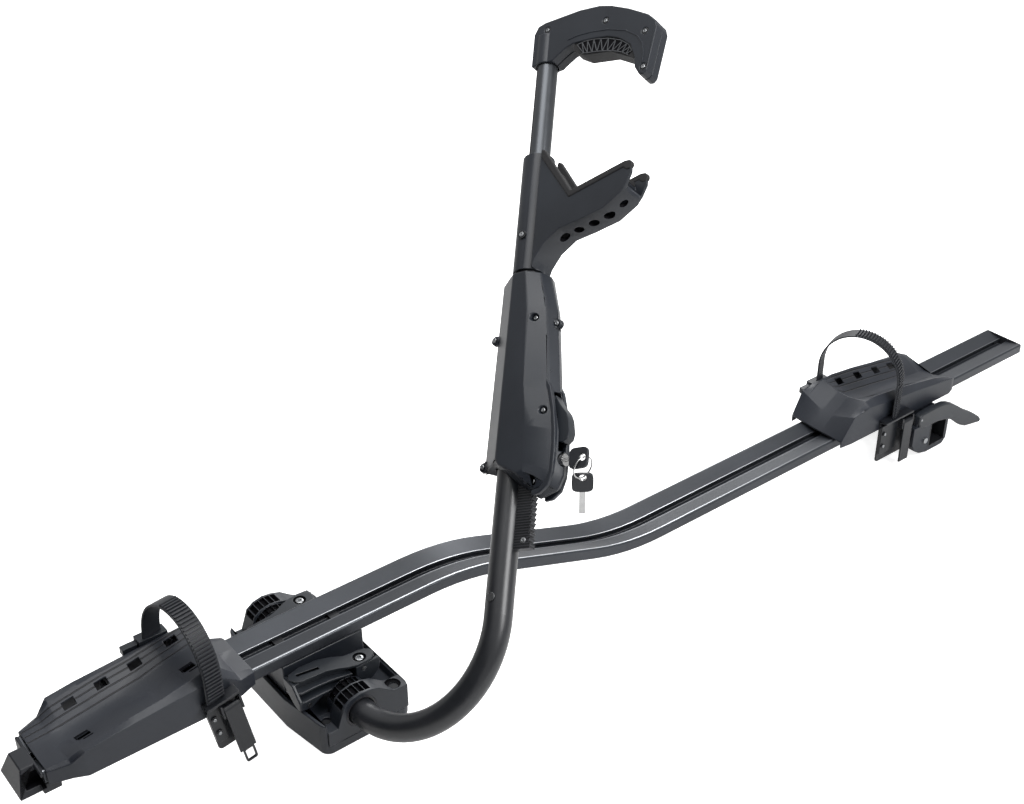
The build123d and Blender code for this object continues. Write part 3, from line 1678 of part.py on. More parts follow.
def tray_bolts(top, gap, bolts_x):
    """T bolts in the rail's channel with their nuts on the tray's sole."""
    plate_height = channel_height - 2 * moving_gap
    with BuildPart() as bolts:
        for bolt_x in bolts_x:
            with Locations((bolt_x, 0, top + channel_floor + moving_gap)):
                Box(
                    bolt_plate_length,
                    2 * (channel_half - moving_gap),
                    plate_height,
                    align=(Align.CENTER, Align.CENTER, Align.MIN),
                )
                Cylinder(
                    tray_bolt_radius,
                    gap + sole_thickness + tray_nut_height - channel_floor - moving_gap,
                    align=(Align.CENTER, Align.CENTER, Align.MIN),
                )
            with BuildSketch(Plane.XY.offset(top + gap + sole_thickness)):
                with Locations((bolt_x, 0)):
                    RegularPolygon(tray_nut_radius, 6)
            extrude(amount=tray_nut_height)
    return bolts.part


with BuildPart() as front_tray_bolts:
    add(tray_bolts(rail_top, 0, front_tray_bolts_x))
front_tray_bolts.part.label = "front_tray_bolts"
export_step(front_tray_bolts.part, "parts/front_tray_bolts.step")

with BuildPart() as rear_tray_bolts:
    add(tray_bolts(rear_top, moving_gap, rear_tray_bolts_x))
rear_tray_bolts.part.label = "rear_tray_bolts"
export_step(rear_tray_bolts.part, "parts/rear_tray_bolts.step")


def strap_plane(middle_x, twist, spring):
    """The upright plane in which a strap runs over the wheel."""
    return Plane(
        origin=(middle_x, 0, spring),
        x_dir=(-sin(radians(twist)), cos(radians(twist)), 0),
        z_dir=(cos(radians(twist)), sin(radians(twist)), 0),
    )


def strap_body(plane, half_span, rise, far_leg, near_leg, grown):
    """A strap, or with grown above zero the room it needs."""
    outer = half_span + grown
    inner = half_span - strap_thickness - grown
    with BuildPart() as body:
        with BuildSketch(plane):
            Ellipse(outer, rise + grown)
            Ellipse(inner, rise - strap_thickness - grown, mode=Mode.SUBTRACT)
            with Locations((0, -rise)):
                Rectangle(3 * outer, 2 * rise, mode=Mode.SUBTRACT)
            with Locations(((outer + inner) / 2, -far_leg / 2)):
                Rectangle(outer - inner, far_leg)
            with Locations((-(outer + inner) / 2, -near_leg / 2)):
                Rectangle(outer - inner, near_leg)
        extrude(amount=strap_width / 2 + grown, both=True)
    return body.part


front_plane = strap_plane(front_strap_x, front_strap_twist, front_strap_spring)
front_half_span = strap_half_span / cos(radians(front_strap_twist))
rear_plane = strap_plane(rear_strap_x, rear_strap_twist, rear_strap_spring)
rear_half_span = strap_half_span / cos(radians(rear_strap_twist))
with BuildPart() as front_strap:
    add(
        strap_body(
            front_plane,
            front_half_span,
            front_strap_rise,
            front_strap_far_leg,
            front_strap_near_leg,
            0,
        )
    )
front_strap.part.label = "front_strap"
export_step(front_strap.part, "parts/front_strap.step")

with BuildPart() as rear_strap:
    add(
        strap_body(
            rear_plane,
            rear_half_span,
            rear_strap_rise,
            rear_strap_far_leg,
            rear_strap_near_leg,
            0,
        )
    )
rear_strap.part.label = "rear_strap"
export_step(rear_strap.part, "parts/rear_strap.step")


def strap_clip(clip_x, clip_z, room):
    """The clip on the tray's far wall that holds the strap's end."""
    with BuildPart() as clip:
        with Locations((clip_x, tray_half, clip_z)):
            Box(clip_length, clip_depth, clip_height, align=(Align.CENTER, Align.MIN, Align.CENTER))
        with Locations((clip_x - clip_length / 2, tray_half + clip_depth / 2, clip_z)):
            Box(
                clip_peg_length,
                clip_peg_size,
                clip_peg_size,
                align=(Align.MAX, Align.CENTER, Align.CENTER),
            )
        add(room, mode=Mode.SUBTRACT)
    return clip.part


front_strap_room = strap_body(
    front_plane, front_half_span, front_strap_rise, front_strap_far_leg, front_strap_near_leg, fit_gap
)
rear_strap_room = strap_body(
    rear_plane, rear_half_span, rear_strap_rise, rear_strap_far_leg, rear_strap_near_leg, fit_gap
)
with BuildPart() as front_strap_clip:
    add(strap_clip(front_clip_x, front_clip_z, front_strap_room))
front_strap_clip.part.label = "front_strap_clip"
export_step(front_strap_clip.part, "parts/front_strap_clip.step")

with BuildPart() as rear_strap_clip:
    add(strap_clip(rear_clip_x, rear_clip_z, rear_strap_room))
rear_strap_clip.part.label = "rear_strap_clip"
export_step(rear_strap_clip.part, "parts/rear_strap_clip.step")


def buckle_frame_at(buckle_x, buckle_z, lean, out=0):
    """A plane on the tray's near wall, leaning with the buckle."""
    return Plane(
        origin=(buckle_x, -tray_half - out, buckle_z),
        x_dir=(cos(radians(lean)), 0, sin(radians(lean))),
        z_dir=(0, -1, 0),
    )


def buckle_body(buckle_x, buckle_z, lean, left, room):
    """A buckle: back plate, rivet block, mouth for the strap and two cheeks for the lever."""
    wall = buckle_frame_at(buckle_x, buckle_z, lean)
    plate_height = buckle_top + buckle_bottom
    cheek_span = buckle_lever_left + buckle_cheek + moving_gap
    with BuildPart() as body:
        with BuildSketch(wall):
            with Locations(((buckle_right - left) / 2, (buckle_top - buckle_bottom) / 2)):
                RectangleRounded(left + buckle_right, plate_height, buckle_corner)
        extrude(amount=buckle_plate)
        with BuildSketch(wall):
            with Locations((-(left + cheek_span) / 2, -buckle_bottom * 0.36)):
                RectangleRounded(left - cheek_span, buckle_bottom * 0.8, buckle_corner / 2)
        extrude(amount=buckle_plate + buckle_block)
        with BuildSketch(wall):
            with Locations(((buckle_right - left) / 2, (buckle_top + buckle_mouth_low) / 2)):
                Rectangle(left + buckle_right, buckle_top - buckle_mouth_low)
        extrude(amount=buckle_mouth_depth)
        with BuildSketch(wall):
            for cheek_middle in (
                -buckle_lever_left - moving_gap - buckle_cheek / 2,
                buckle_lever_right + moving_gap + buckle_cheek / 2,
            ):
                with Locations((cheek_middle, -buckle_pin_height)):
                    Rectangle(buckle_cheek, 4 * buckle_hub_radius)
        extrude(amount=buckle_cheek_reach)
        pin_plane = Plane(
            origin=wall.from_local_coords((0, -buckle_pin_height, buckle_pin_out)),
            x_dir=(0, -1, 0),
            z_dir=wall.x_dir,
        )
        with BuildSketch(pin_plane):
            Circle(buckle_pin_radius + seat_gap)
        extrude(amount=left + buckle_right, both=True, mode=Mode.SUBTRACT)
        with BuildSketch(wall):
            with Locations(
                (-left + buckle_corner, -buckle_bottom * 0.18),
                (-left + buckle_corner, -buckle_bottom * 0.52),
            ):
                Circle(buckle_rivet_radius + seat_gap)
        extrude(amount=buckle_plate + buckle_block, mode=Mode.SUBTRACT)
        add(room, mode=Mode.SUBTRACT)
    return body.part


def buckle_rivets_body(buckle_x, buckle_z, lean, left):
    """Two rivets through the buckle and the pin on which its lever turns."""
    wall = buckle_frame_at(buckle_x, buckle_z, lean)
    block_face = buckle_frame_at(buckle_x, buckle_z, lean, buckle_plate + buckle_block)
    rivet_places = (
        (-left + buckle_corner, -buckle_bottom * 0.18),
        (-left + buckle_corner, -buckle_bottom * 0.52),
    )
    with BuildPart() as rivets:
        with BuildSketch(wall):
            with Locations(*rivet_places):
                Circle(buckle_rivet_radius)
        extrude(amount=buckle_plate + buckle_block)
        with BuildSketch(block_face):
            with Locations(*rivet_places):
                Circle(buckle_rivet_head)
        extrude(amount=buckle_rivet_proud)
        pin_plane = Plane(
            origin=wall.from_local_coords(
                (-buckle_lever_left - moving_gap - buckle_cheek, -buckle_pin_height, buckle_pin_out)
            ),
            x_dir=(0, -1, 0),
            z_dir=wall.x_dir,
        )
        with BuildSketch(pin_plane):
            Circle(buckle_pin_radius)
        extrude(
            amount=buckle_lever_left + buckle_lever_right + 2 * buckle_cheek + 2 * moving_gap
        )
    return rivets.part


def buckle_lever_body(buckle_x, buckle_z, lean, length, ring):
    """A buckle lever: a hub on the pin, a plate and, on the front one, a wire ring."""
    wall = buckle_frame_at(buckle_x, buckle_z, lean)
    hub_plane = Plane(
        origin=wall.from_local_coords((-buckle_lever_left, -buckle_pin_height, buckle_pin_out)),
        x_dir=(0, -1, 0),
        z_dir=wall.x_dir,
    )
    width = buckle_lever_left + buckle_lever_right
    plate_face = buckle_frame_at(
        buckle_x, buckle_z, lean, buckle_pin_out + buckle_hub_radius - buckle_lever_plate
    )
    middle = (buckle_lever_right - buckle_lever_left) / 2
    with BuildPart() as lever:
        with BuildSketch(hub_plane):
            Circle(buckle_hub_radius)
        extrude(amount=width)
        with BuildSketch(plate_face):
            with Locations((middle, -(length - ring) / 2 - buckle_pin_height)):
                Rectangle(width, length - ring)
            if ring > 0:
                with Locations((middle, -length + ring / 2 - buckle_pin_height)):
                    RectangleRounded(width * 0.7, ring * 1.1, buckle_lever_plate)
                    RectangleRounded(
                        width * 0.7 - buckle_lever_plate * 1.6,
                        ring * 1.1 - buckle_lever_plate * 1.6,
                        buckle_lever_plate / 2,
                        mode=Mode.SUBTRACT,
                    )
        extrude(amount=buckle_lever_plate)
        with BuildSketch(hub_plane):
            Circle(buckle_pin_radius + running_gap)
        extrude(amount=width, mode=Mode.SUBTRACT)
    return lever.part


with BuildPart() as front_buckle:
    add(
        buckle_body(
            front_buckle_x, front_buckle_z, front_buckle_lean, front_buckle_left, front_strap_room
        )
    )
front_buckle.part.label = "front_buckle"
export_step(front_buckle.part, "parts/front_buckle.step")

with BuildPart() as front_buckle_rivets:
    add(
        buckle_rivets_body(front_buckle_x, front_buckle_z, front_buckle_lean, front_buckle_left)
    )
front_buckle_rivets.part.label = "front_buckle_rivets"
export_step(front_buckle_rivets.part, "parts/front_buckle_rivets.step")

with BuildPart() as front_buckle_lever:
    add(
        buckle_lever_body(
            front_buckle_x,
            front_buckle_z,
            front_buckle_lean,
            front_lever_length,
            buckle_ring_length,
        )
    )
front_buckle_lever.part.label = "front_buckle_lever"
export_step(front_buckle_lever.part, "parts/front_buckle_lever.step")

with BuildPart() as rear_buckle:
    add(
        buckle_body(
            rear_buckle_x, rear_buckle_z, rear_buckle_lean, rear_buckle_left, rear_strap_room
        )
    )
rear_buckle.part.label = "rear_buckle"
export_step(rear_buckle.part, "parts/rear_buckle.step")

with BuildPart() as rear_buckle_rivets:
    add(buckle_rivets_body(rear_buckle_x, rear_buckle_z, rear_buckle_lean, rear_buckle_left))
rear_buckle_rivets.part.label = "rear_buckle_rivets"
export_step(rear_buckle_rivets.part, "parts/rear_buckle_rivets.step")

with BuildPart() as rear_buckle_lever:
    add(buckle_lever_body(rear_buckle_x, rear_buckle_z, rear_buckle_lean, rear_lever_length, 0))
rear_buckle_lever.part.label = "rear_buckle_lever"
export_step(rear_buckle_lever.part, "parts/rear_buckle_lever.step")

# The rear clamp's body: a saddle round the rail, a near and a far plate with the bar opening
clamp_face_shares = [
    (0, 0),
    (0, 0.55),
    (0.1, 0.78),
    (0.24, 0.92),
    (0.45, 1),
    (0.9, 1),
    (1, 0.85),
    (1, 0),
]
clamp_length = clamp_right - clamp_left
saddle_length = clamp_saddle_right - clamp_saddle_left
saddle_middle = (clamp_saddle_right + clamp_saddle_left) / 2
saddle_floor = rear_bottom - moving_gap
grip_half = rail_half + moving_gap
ear_z = -rear_pivot_z
opening_middle_x = bar_opening_left + bar_opening_width / 2
opening_middle_z = -bar_opening_low + bar_opening_height / 2
with BuildPart() as rear_clamp_body:
    with Locations((saddle_middle, 0, saddle_floor)):
        Box(
            saddle_length,
            2 * (grip_half + clamp_lip_reach),
            clamp_saddle,
            align=(Align.CENTER, Align.CENTER, Align.MAX),
        )
    for hand in (-1, 1):
        with Locations((saddle_middle, hand * grip_half, saddle_floor)):
            Box(
                saddle_length,
                clamp_lip_reach,
                rear_top + moving_gap + clamp_lip - saddle_floor,
                align=(Align.CENTER, Align.MIN if hand > 0 else Align.MAX, Align.MIN),
            )
        with Locations((saddle_middle, hand * (grip_half + clamp_lip_reach), rear_top + moving_gap)):
            Box(
                saddle_length,
                2 * clamp_lip_reach,
                clamp_lip,
                align=(Align.CENTER, Align.MAX if hand > 0 else Align.MIN, Align.MIN),
            )
    face_height = clamp_bottom - clamp_cheek_top
    with BuildSketch(
        Plane(origin=(clamp_left, -clamp_inner, -clamp_cheek_top), x_dir=(1, 0, 0), z_dir=(0, -1, 0))
    ):
        with BuildLine():
            Polyline(*spread(clamp_face_shares, clamp_length, -face_height), close=True)
        make_face()
    extrude(amount=clamp_outer - clamp_inner)
    with Locations((saddle_middle, -(clamp_inner - moving_gap), saddle_floor - clamp_saddle)):
        Box(
            saddle_length,
            clamp_inner - moving_gap,
            clamp_saddle,
            align=(Align.CENTER, Align.MIN, Align.MIN),
        )
    with Locations((saddle_middle, -clamp_inner, -clamp_cheek_top)):
        Box(
            saddle_length,
            clamp_lip_reach,
            -clamp_cheek_top - saddle_floor + clamp_saddle,
            align=(Align.CENTER, Align.CENTER, Align.MAX),
        )
    with Locations(((clamp_left + clamp_right) / 2, clamp_far, saddle_floor - clamp_saddle / 2)):
        Box(
            clamp_length,
            clamp_far_plate,
            clamp_bottom + saddle_floor - clamp_saddle / 2,
            align=(Align.CENTER, Align.MIN, Align.MAX),
        )
    with Locations((opening_middle_x, 0, opening_middle_z)):
        Box(
            bar_opening_width + 2 * band_thickness + 2 * seat_gap,
            4 * clamp_outer,
            bar_opening_height + 2 * band_thickness + 2 * seat_gap,
            mode=Mode.SUBTRACT,
        )
    with BuildSketch(Plane(origin=(rear_pivot_x, -rear_ear_far, ear_z), x_dir=(1, 0, 0),
                           z_dir=(0, -1, 0))):
        Circle(rear_ear_radius)
        with Locations((0, -clamp_cheek_top / 2)):
            Rectangle(2 * rear_ear_radius - moving_gap, clamp_cheek_top)
    extrude(amount=rear_ear_near - rear_ear_far)
    with BuildSketch(Plane(origin=(rear_pivot_x, 0, ear_z), x_dir=(1, 0, 0), z_dir=(0, -1, 0))):
        Circle(small_pin_radius + seat_gap)
        with Locations((rear_bolt_x - rear_pivot_x, rear_pivot_z - rear_bolt_z)):
            Circle(rear_bolt_radius + seat_gap)
    extrude(amount=clamp_outer + clamp_lip, both=True, mode=Mode.SUBTRACT)
rear_clamp_body.part.label = "rear_clamp_body"
export_step(rear_clamp_body.part, "parts/rear_clamp_body.step")

# The steel band that lines the bar opening
with BuildPart() as rear_clamp_band:
    with Locations((opening_middle_x, -clamp_outer, opening_middle_z)):
        Box(
            bar_opening_width + 2 * band_thickness,
            clamp_outer + clamp_far + clamp_far_plate,
            bar_opening_height + 2 * band_thickness,
            align=(Align.CENTER, Align.MIN, Align.CENTER),
        )
        Box(
            bar_opening_width,
            4 * clamp_outer,
            bar_opening_height,
            mode=Mode.SUBTRACT,
        )
rear_clamp_band.part.label = "rear_clamp_band"
export_step(rear_clamp_band.part, "parts/rear_clamp_band.step")

# The bolt that draws the two plates together
with BuildPart() as rear_clamp_bolt:
    with BuildSketch(Plane(origin=(rear_bolt_x, clamp_far + clamp_far_plate, -rear_bolt_z),
                           x_dir=(1, 0, 0), z_dir=(0, -1, 0))):
        Circle(rear_bolt_radius)
    extrude(amount=clamp_outer + clamp_far + clamp_far_plate)
    with BuildSketch(Plane(origin=(rear_bolt_x, -clamp_outer, -rear_bolt_z), x_dir=(1, 0, 0),
                           z_dir=(0, -1, 0))):
        Circle(clamp_bolt_head_radius)
    extrude(amount=clamp_bolt_head_proud)
rear_clamp_bolt.part.label = "rear_clamp_bolt"
export_step(rear_clamp_bolt.part, "parts/rear_clamp_bolt.step")

# The pin on which the rear clamp's lever turns
with BuildPart() as rear_clamp_pin:
    with BuildSketch(Plane(origin=(rear_pivot_x, -rear_lever_far, ear_z), x_dir=(1, 0, 0),
                           z_dir=(0, -1, 0))):
        Circle(small_pin_radius)
    extrude(amount=rear_lever_near - rear_lever_far)
rear_clamp_pin.part.label = "rear_clamp_pin"
export_step(rear_clamp_pin.part, "parts/rear_clamp_pin.step")

# The rear clamp's lever: two sides on the pin and a top plate that runs out to the tail
rear_lever_shares = [
    (-0.04, 0.145),
    (0.39, 0.1),
    (0.48, -0.05),
    (0.67, -0.25),
    (1.0, -0.87),
    (0.986, -1.0),
    (0.795, -0.79),
    (0.44, -0.28),
    (0.422, -0.148),
    (0.06, -0.148),
    (-0.04, -0.08),
]
rear_channel_shares = [
    (-0.06, 0.105),
    (0.38, 0.06),
    (0.47, -0.08),
    (0.64, -0.28),
    (0.6, -0.9),
    (-0.06, -0.9),
]
lever_side = Plane(origin=(rear_pivot_x, -rear_lever_far, ear_z), x_dir=(1, 0, 0), z_dir=(0, -1, 0))
side_thickness = (rear_lever_near - rear_ear_near) - 2 * moving_gap
with BuildPart() as rear_clamp_lever:
    with BuildSketch(lever_side):
        with BuildLine():
            Polyline(*spread(rear_lever_shares, rear_lever_reach, rear_lever_rise), close=True)
        make_face()
    extrude(amount=rear_lever_near - rear_lever_far)
    with BuildSketch(lever_side.offset(rear_ear_far - rear_lever_far - moving_gap)):
        with BuildLine():
            Polyline(*spread(rear_channel_shares, rear_lever_reach, rear_lever_rise), close=True)
        make_face()
    extrude(amount=rear_ear_near - rear_ear_far + 2 * moving_gap, mode=Mode.SUBTRACT)
    with BuildSketch(lever_side):
        Circle(small_pin_radius + running_gap)
    extrude(amount=rear_lever_near - rear_lever_far, mode=Mode.SUBTRACT)
rear_clamp_lever.part.label = "rear_clamp_lever"
export_step(rear_clamp_lever.part, "parts/rear_clamp_lever.step")
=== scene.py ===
import math

import bmesh
import bpy
from mathutils import Matrix, Vector


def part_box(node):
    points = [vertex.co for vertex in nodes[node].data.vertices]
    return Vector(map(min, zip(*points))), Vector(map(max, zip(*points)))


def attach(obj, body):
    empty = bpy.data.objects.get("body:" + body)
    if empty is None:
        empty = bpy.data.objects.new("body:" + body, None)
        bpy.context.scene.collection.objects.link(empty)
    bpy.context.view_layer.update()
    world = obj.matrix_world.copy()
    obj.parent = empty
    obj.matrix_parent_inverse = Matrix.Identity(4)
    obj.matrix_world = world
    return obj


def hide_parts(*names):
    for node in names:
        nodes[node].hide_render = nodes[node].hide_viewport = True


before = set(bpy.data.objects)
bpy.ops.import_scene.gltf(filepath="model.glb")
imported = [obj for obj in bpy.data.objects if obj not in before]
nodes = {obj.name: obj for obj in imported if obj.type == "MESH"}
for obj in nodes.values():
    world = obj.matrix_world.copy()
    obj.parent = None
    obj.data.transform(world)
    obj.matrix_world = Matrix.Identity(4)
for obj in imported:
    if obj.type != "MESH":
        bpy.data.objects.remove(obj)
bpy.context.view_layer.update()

# The rail: one bent aluminium extrusion, anodised black. Its top has a trough and a slot, and painted
# highlights lie as bright lines along the slot's lips and the near shoulder, fading to the rear. It is the
# CAD solid as it is, with the highlight lines painted in its finish.


def new_group(name, inputs, outputs):
    """An empty node group with named inputs and outputs."""
    group = bpy.data.node_groups.new(name, "ShaderNodeTree")
    for label, value in inputs:
        socket = group.interface.new_socket(label, in_out="INPUT", socket_type="NodeSocketFloat")
        socket.default_value = value
    for label in outputs:
        group.interface.new_socket(label, in_out="OUTPUT", socket_type="NodeSocketFloat")
    return group, group.nodes.new("NodeGroupInput"), group.nodes.new("NodeGroupOutput")


def add_math(tree, kind, first, second, clamp=False):
    """A Math node whose inputs are sockets or numbers."""
    node = tree.nodes.new("ShaderNodeMath")
    node.operation = kind
    node.use_clamp = clamp
    for slot, value in zip(node.inputs, (first, second)):
        if isinstance(value, (int, float)):
            slot.default_value = value
        else:
            tree.links.new(value, slot)
    return node.outputs[0]


# Fine grain of a moulded or coated surface, with a slow cloudiness for the tone
surface_grain, grain_in, grain_out = new_group(
    "surface_grain", (("Scale", 900.0), ("Cloud", 14.0)), ("Height", "Tone")
)
place = surface_grain.nodes.new("ShaderNodeTexCoord")
fine = surface_grain.nodes.new("ShaderNodeTexNoise")
fine.inputs["Detail"].default_value = 3
cloud = surface_grain.nodes.new("ShaderNodeTexNoise")
cloud.inputs["Detail"].default_value = 4
surface_grain.links.new(place.outputs["Object"], fine.inputs["Vector"])
surface_grain.links.new(place.outputs["Object"], cloud.inputs["Vector"])
surface_grain.links.new(grain_in.outputs["Scale"], fine.inputs["Scale"])
surface_grain.links.new(grain_in.outputs["Cloud"], cloud.inputs["Scale"])
surface_grain.links.new(fine.outputs["Fac"], grain_out.inputs["Height"])
tone = add_math(surface_grain, "SUBTRACT", cloud.outputs["Fac"], 0.5)
tone = add_math(surface_grain, "MULTIPLY", tone, 2.2)
tone = add_math(surface_grain, "ADD", tone, 0.5, clamp=True)
surface_grain.links.new(tone, grain_out.inputs["Tone"])

# Where two faces meet, the finish is paler: partly wear from handling, partly a painted highlight along the
# edge
edge_wear_and_highlight, wear_highlight_in, wear_highlight_out = new_group(
    "edge_wear_and_highlight", (("Radius", 0.0006), ("Strength", 1.0)), ("Mask",)
)
round_normal = edge_wear_and_highlight.nodes.new("ShaderNodeBevel")
round_normal.samples = 4
flat_normal = edge_wear_and_highlight.nodes.new("ShaderNodeNewGeometry")
meeting = edge_wear_and_highlight.nodes.new("ShaderNodeVectorMath")
meeting.operation = "DOT_PRODUCT"
edge_wear_and_highlight.links.new(wear_highlight_in.outputs["Radius"], round_normal.inputs["Radius"])
edge_wear_and_highlight.links.new(round_normal.outputs["Normal"], meeting.inputs[0])
edge_wear_and_highlight.links.new(flat_normal.outputs["Normal"], meeting.inputs[1])
wear_and_highlight = add_math(edge_wear_and_highlight, "SUBTRACT", 1.0, meeting.outputs["Value"], clamp=True)
wear_and_highlight = add_math(edge_wear_and_highlight, "MULTIPLY", wear_and_highlight, 3.5, clamp=True)
wear_and_highlight = add_math(edge_wear_and_highlight, "MULTIPLY", wear_and_highlight, wear_highlight_in.outputs["Strength"], clamp=True)
edge_wear_and_highlight.links.new(wear_and_highlight, wear_highlight_out.inputs["Mask"])


def use_group(tree, group, **values):
    """A node that places a group, with its inputs set by name."""
    node = tree.nodes.new("ShaderNodeGroup")
    node.node_tree = group
    for label, value in values.items():
        node.inputs[label].default_value = value
    return node


def mix_colour(tree, share, first, second):
    """A colour that goes from the first to the second with a share."""
    node = tree.nodes.new("ShaderNodeMix")
    node.data_type = "RGBA"
    tree.links.new(share, node.inputs["Factor"])
    for label, colour in (("A", first), ("B", second)):
        slot = [s for s in node.inputs if s.name == label and s.type == "RGBA"][0]
        if isinstance(colour, tuple):
            slot.default_value = (*colour, 1)
        else:
            tree.links.new(colour, slot)
    return [s for s in node.outputs if s.type == "RGBA"][0]


def map_range(tree, value, low, high, to_low, to_high):
    """A value carried from one range to another."""
    node = tree.nodes.new("ShaderNodeMapRange")
    tree.links.new(value, node.inputs["Value"])
    labels = ("From Min", "From Max", "To Min", "To Max")
    for label, number in zip(labels, (low, high, to_low, to_high)):
        node.inputs[label].default_value = number
    return node.outputs["Result"]


def add_bump(tree, height, distance, strength=1.0, radius=0.0):
    """A Bump node over a normal that is rounded at the edges."""
    bump = tree.nodes.new("ShaderNodeBump")
    bump.inputs["Distance"].default_value = distance
    bump.inputs["Strength"].default_value = strength
    tree.links.new(height, bump.inputs["Height"])
    if radius > 0:
        edge = tree.nodes.new("ShaderNodeBevel")
        edge.samples = 4
        edge.inputs["Radius"].default_value = radius
        tree.links.new(edge.outputs["Normal"], bump.inputs["Normal"])
    return bump.outputs["Normal"]


def object_axes(tree):
    """The X, Y and Z of a place on the object."""
    place = tree.nodes.new("ShaderNodeTexCoord")
    axes = tree.nodes.new("ShaderNodeSeparateXYZ")
    tree.links.new(place.outputs["Object"], axes.inputs["Vector"])
    return axes.outputs


def facing_up(tree, low, high):
    """A value that goes from 0 to 1 as a face turns up."""
    surface = tree.nodes.new("ShaderNodeNewGeometry")
    axes = tree.nodes.new("ShaderNodeSeparateXYZ")
    tree.links.new(surface.outputs["Normal"], axes.inputs["Vector"])
    return map_range(tree, axes.outputs["Z"], low, high, 0, 1)


def band(tree, value, middle, inner, outer, level=1):
    """A level where a value is within inner of the middle, falling to 0 at outer."""
    away = add_math(tree, "ABSOLUTE", add_math(tree, "SUBTRACT", value, middle), 0)
    return map_range(tree, away, inner, outer, level, 0)


def largest(tree, values):
    """The largest of several values."""
    whole = values[0]
    for value in values[1:]:
        whole = add_math(tree, "MAXIMUM", whole, value)
    return whole


def finish_material(name):
    """A new material with its tree and its shader."""
    material = bpy.data.materials.new(name)
    material.use_nodes = True
    return material, material.node_tree, material.node_tree.nodes["Principled BSDF"]


anodised, tree, shader = finish_material("anodised_rail")
grain = use_group(tree, surface_grain, Scale=1500.0, Cloud=9.0)
edges = use_group(tree, edge_wear_and_highlight, Radius=0.0005, Strength=0.25)
place = tree.nodes.new("ShaderNodeTexCoord")
stretch = tree.nodes.new("ShaderNodeMapping")
stretch.inputs["Scale"].default_value = (6, 1400, 1400)
lines = tree.nodes.new("ShaderNodeTexNoise")
lines.inputs["Scale"].default_value = 1
lines.inputs["Detail"].default_value = 2
tree.links.new(place.outputs["Object"], stretch.inputs["Vector"])
tree.links.new(stretch.outputs["Vector"], lines.inputs["Vector"])
axes = object_axes(tree)
# The y, half width and level of each painted highlight line, and where they fade towards the rear
painted_highlight_lines = ((0.0058, 0.0007, 1.0), (-0.0057, 0.0004, 0.22), (-0.0266, 0.0009, 1.0))
fade_start, fade_end, fade_level = 0.45, 0.70, 0.15
# Painted highlight: bright lines on the upturned faces, fading towards the rear
painted_lighting = largest(
    tree, [band(tree, axes["Y"], y, half * 0.6, half, level) for y, half, level in painted_highlight_lines]
)
painted_lighting = add_math(tree, "MULTIPLY", painted_lighting, facing_up(tree, 0.3, 0.7))
painted_lighting = add_math(tree, "MULTIPLY", painted_lighting, map_range(tree, lines.outputs["Fac"], 0.3, 0.6, 0.6, 1))
fade = map_range(tree, axes["X"], fade_start, fade_end, 1, fade_level)
painted_lighting = add_math(tree, "MULTIPLY", painted_lighting, fade)
# The painted highlight lines join the worn and highlit edges, and together they turn the black pale and
# metallic
painted_highlight_and_wear = add_math(tree, "MAXIMUM", painted_lighting, edges.outputs["Mask"])
black = mix_colour(tree, grain.outputs["Tone"], (0.022, 0.025, 0.030), (0.036, 0.040, 0.048))
bright = mix_colour(tree, painted_highlight_and_wear, black, (0.55, 0.57, 0.60))
tree.links.new(bright, shader.inputs["Base Color"])
tree.links.new(map_range(tree, lines.outputs["Fac"], 0, 1, 0.30, 0.46), shader.inputs["Roughness"])
tree.links.new(map_range(tree, painted_highlight_and_wear, 0, 1, 0.45, 0.9), shader.inputs["Metallic"])
tree.links.new(add_bump(tree, lines.outputs["Fac"], 0.00003, 0.5, 0.0004), shader.inputs["Normal"])


def dress(material, *names):
    """Gives CAD nodes a finish in place of their plain one."""
    for name in names:
        node = nodes[name]
        for slot in node.material_slots:
            slot.material = material


dress(anodised, "rail")

# The front cap and the rear plate: black moulded polymer, pushed over and into the rail's ends. The mould
# rounds their edges, and the cap has a pocket in its near side whose walls are painted near black as shade.


def moulded(name, low, high, roughness, scale=1100.0, distance=0.00006, edge_wear_highlight=0.25):
    """A moulded polymer: two close tones, a fine spark grain and pale edges, partly wear and partly painted
    highlight.
    """
    material, tree, shader = finish_material(name)
    grain = use_group(tree, surface_grain, Scale=scale, Cloud=11.0)
    edges = use_group(tree, edge_wear_and_highlight, Radius=0.0006, Strength=edge_wear_highlight)
    body = mix_colour(tree, grain.outputs["Tone"], low, high)
    pale = tuple(min(1.0, 4.0 * value) for value in high)
    tree.links.new(mix_colour(tree, edges.outputs["Mask"], body, pale), shader.inputs["Base Color"])
    rough = map_range(tree, grain.outputs["Tone"], 0, 1, roughness - 0.05, roughness + 0.05)
    tree.links.new(rough, shader.inputs["Roughness"])
    shader.inputs["Specular IOR Level"].default_value = 0.34
    tree.links.new(
        add_bump(tree, grain.outputs["Height"], distance, 0.6, 0.0005), shader.inputs["Normal"]
    )
    return material


cap_black = moulded("cap_black", (0.010, 0.011, 0.014), (0.016, 0.018, 0.022), 0.42)


def even_shading(piece):
    """Smooth shading across the small bends, with the flat faces kept flat."""
    bpy.ops.object.shade_smooth_by_angle(angle=math.radians(38))
    weigh = piece.modifiers.new("weigh", "WEIGHTED_NORMAL")
    weigh.keep_sharp = True
    bpy.ops.object.modifier_apply(modifier="weigh")


def pick(piece):
    """Makes a piece the active one and the only one selected."""
    bpy.ops.object.select_all(action="DESELECT")
    piece.select_set(True)
    bpy.context.view_layer.objects.active = piece


def round_edges(piece, width, segments=2, angle=35, clamp=True):
    """Rounds a piece's sharp edges."""
    pick(piece)
    edge = piece.modifiers.new("edge", "BEVEL")
    edge.limit_method = "ANGLE"
    edge.angle_limit = math.radians(angle)
    edge.width = width
    edge.segments = segments
    edge.use_clamp_overlap = clamp
    bpy.ops.object.modifier_apply(modifier="edge")
    even_shading(piece)
    return piece


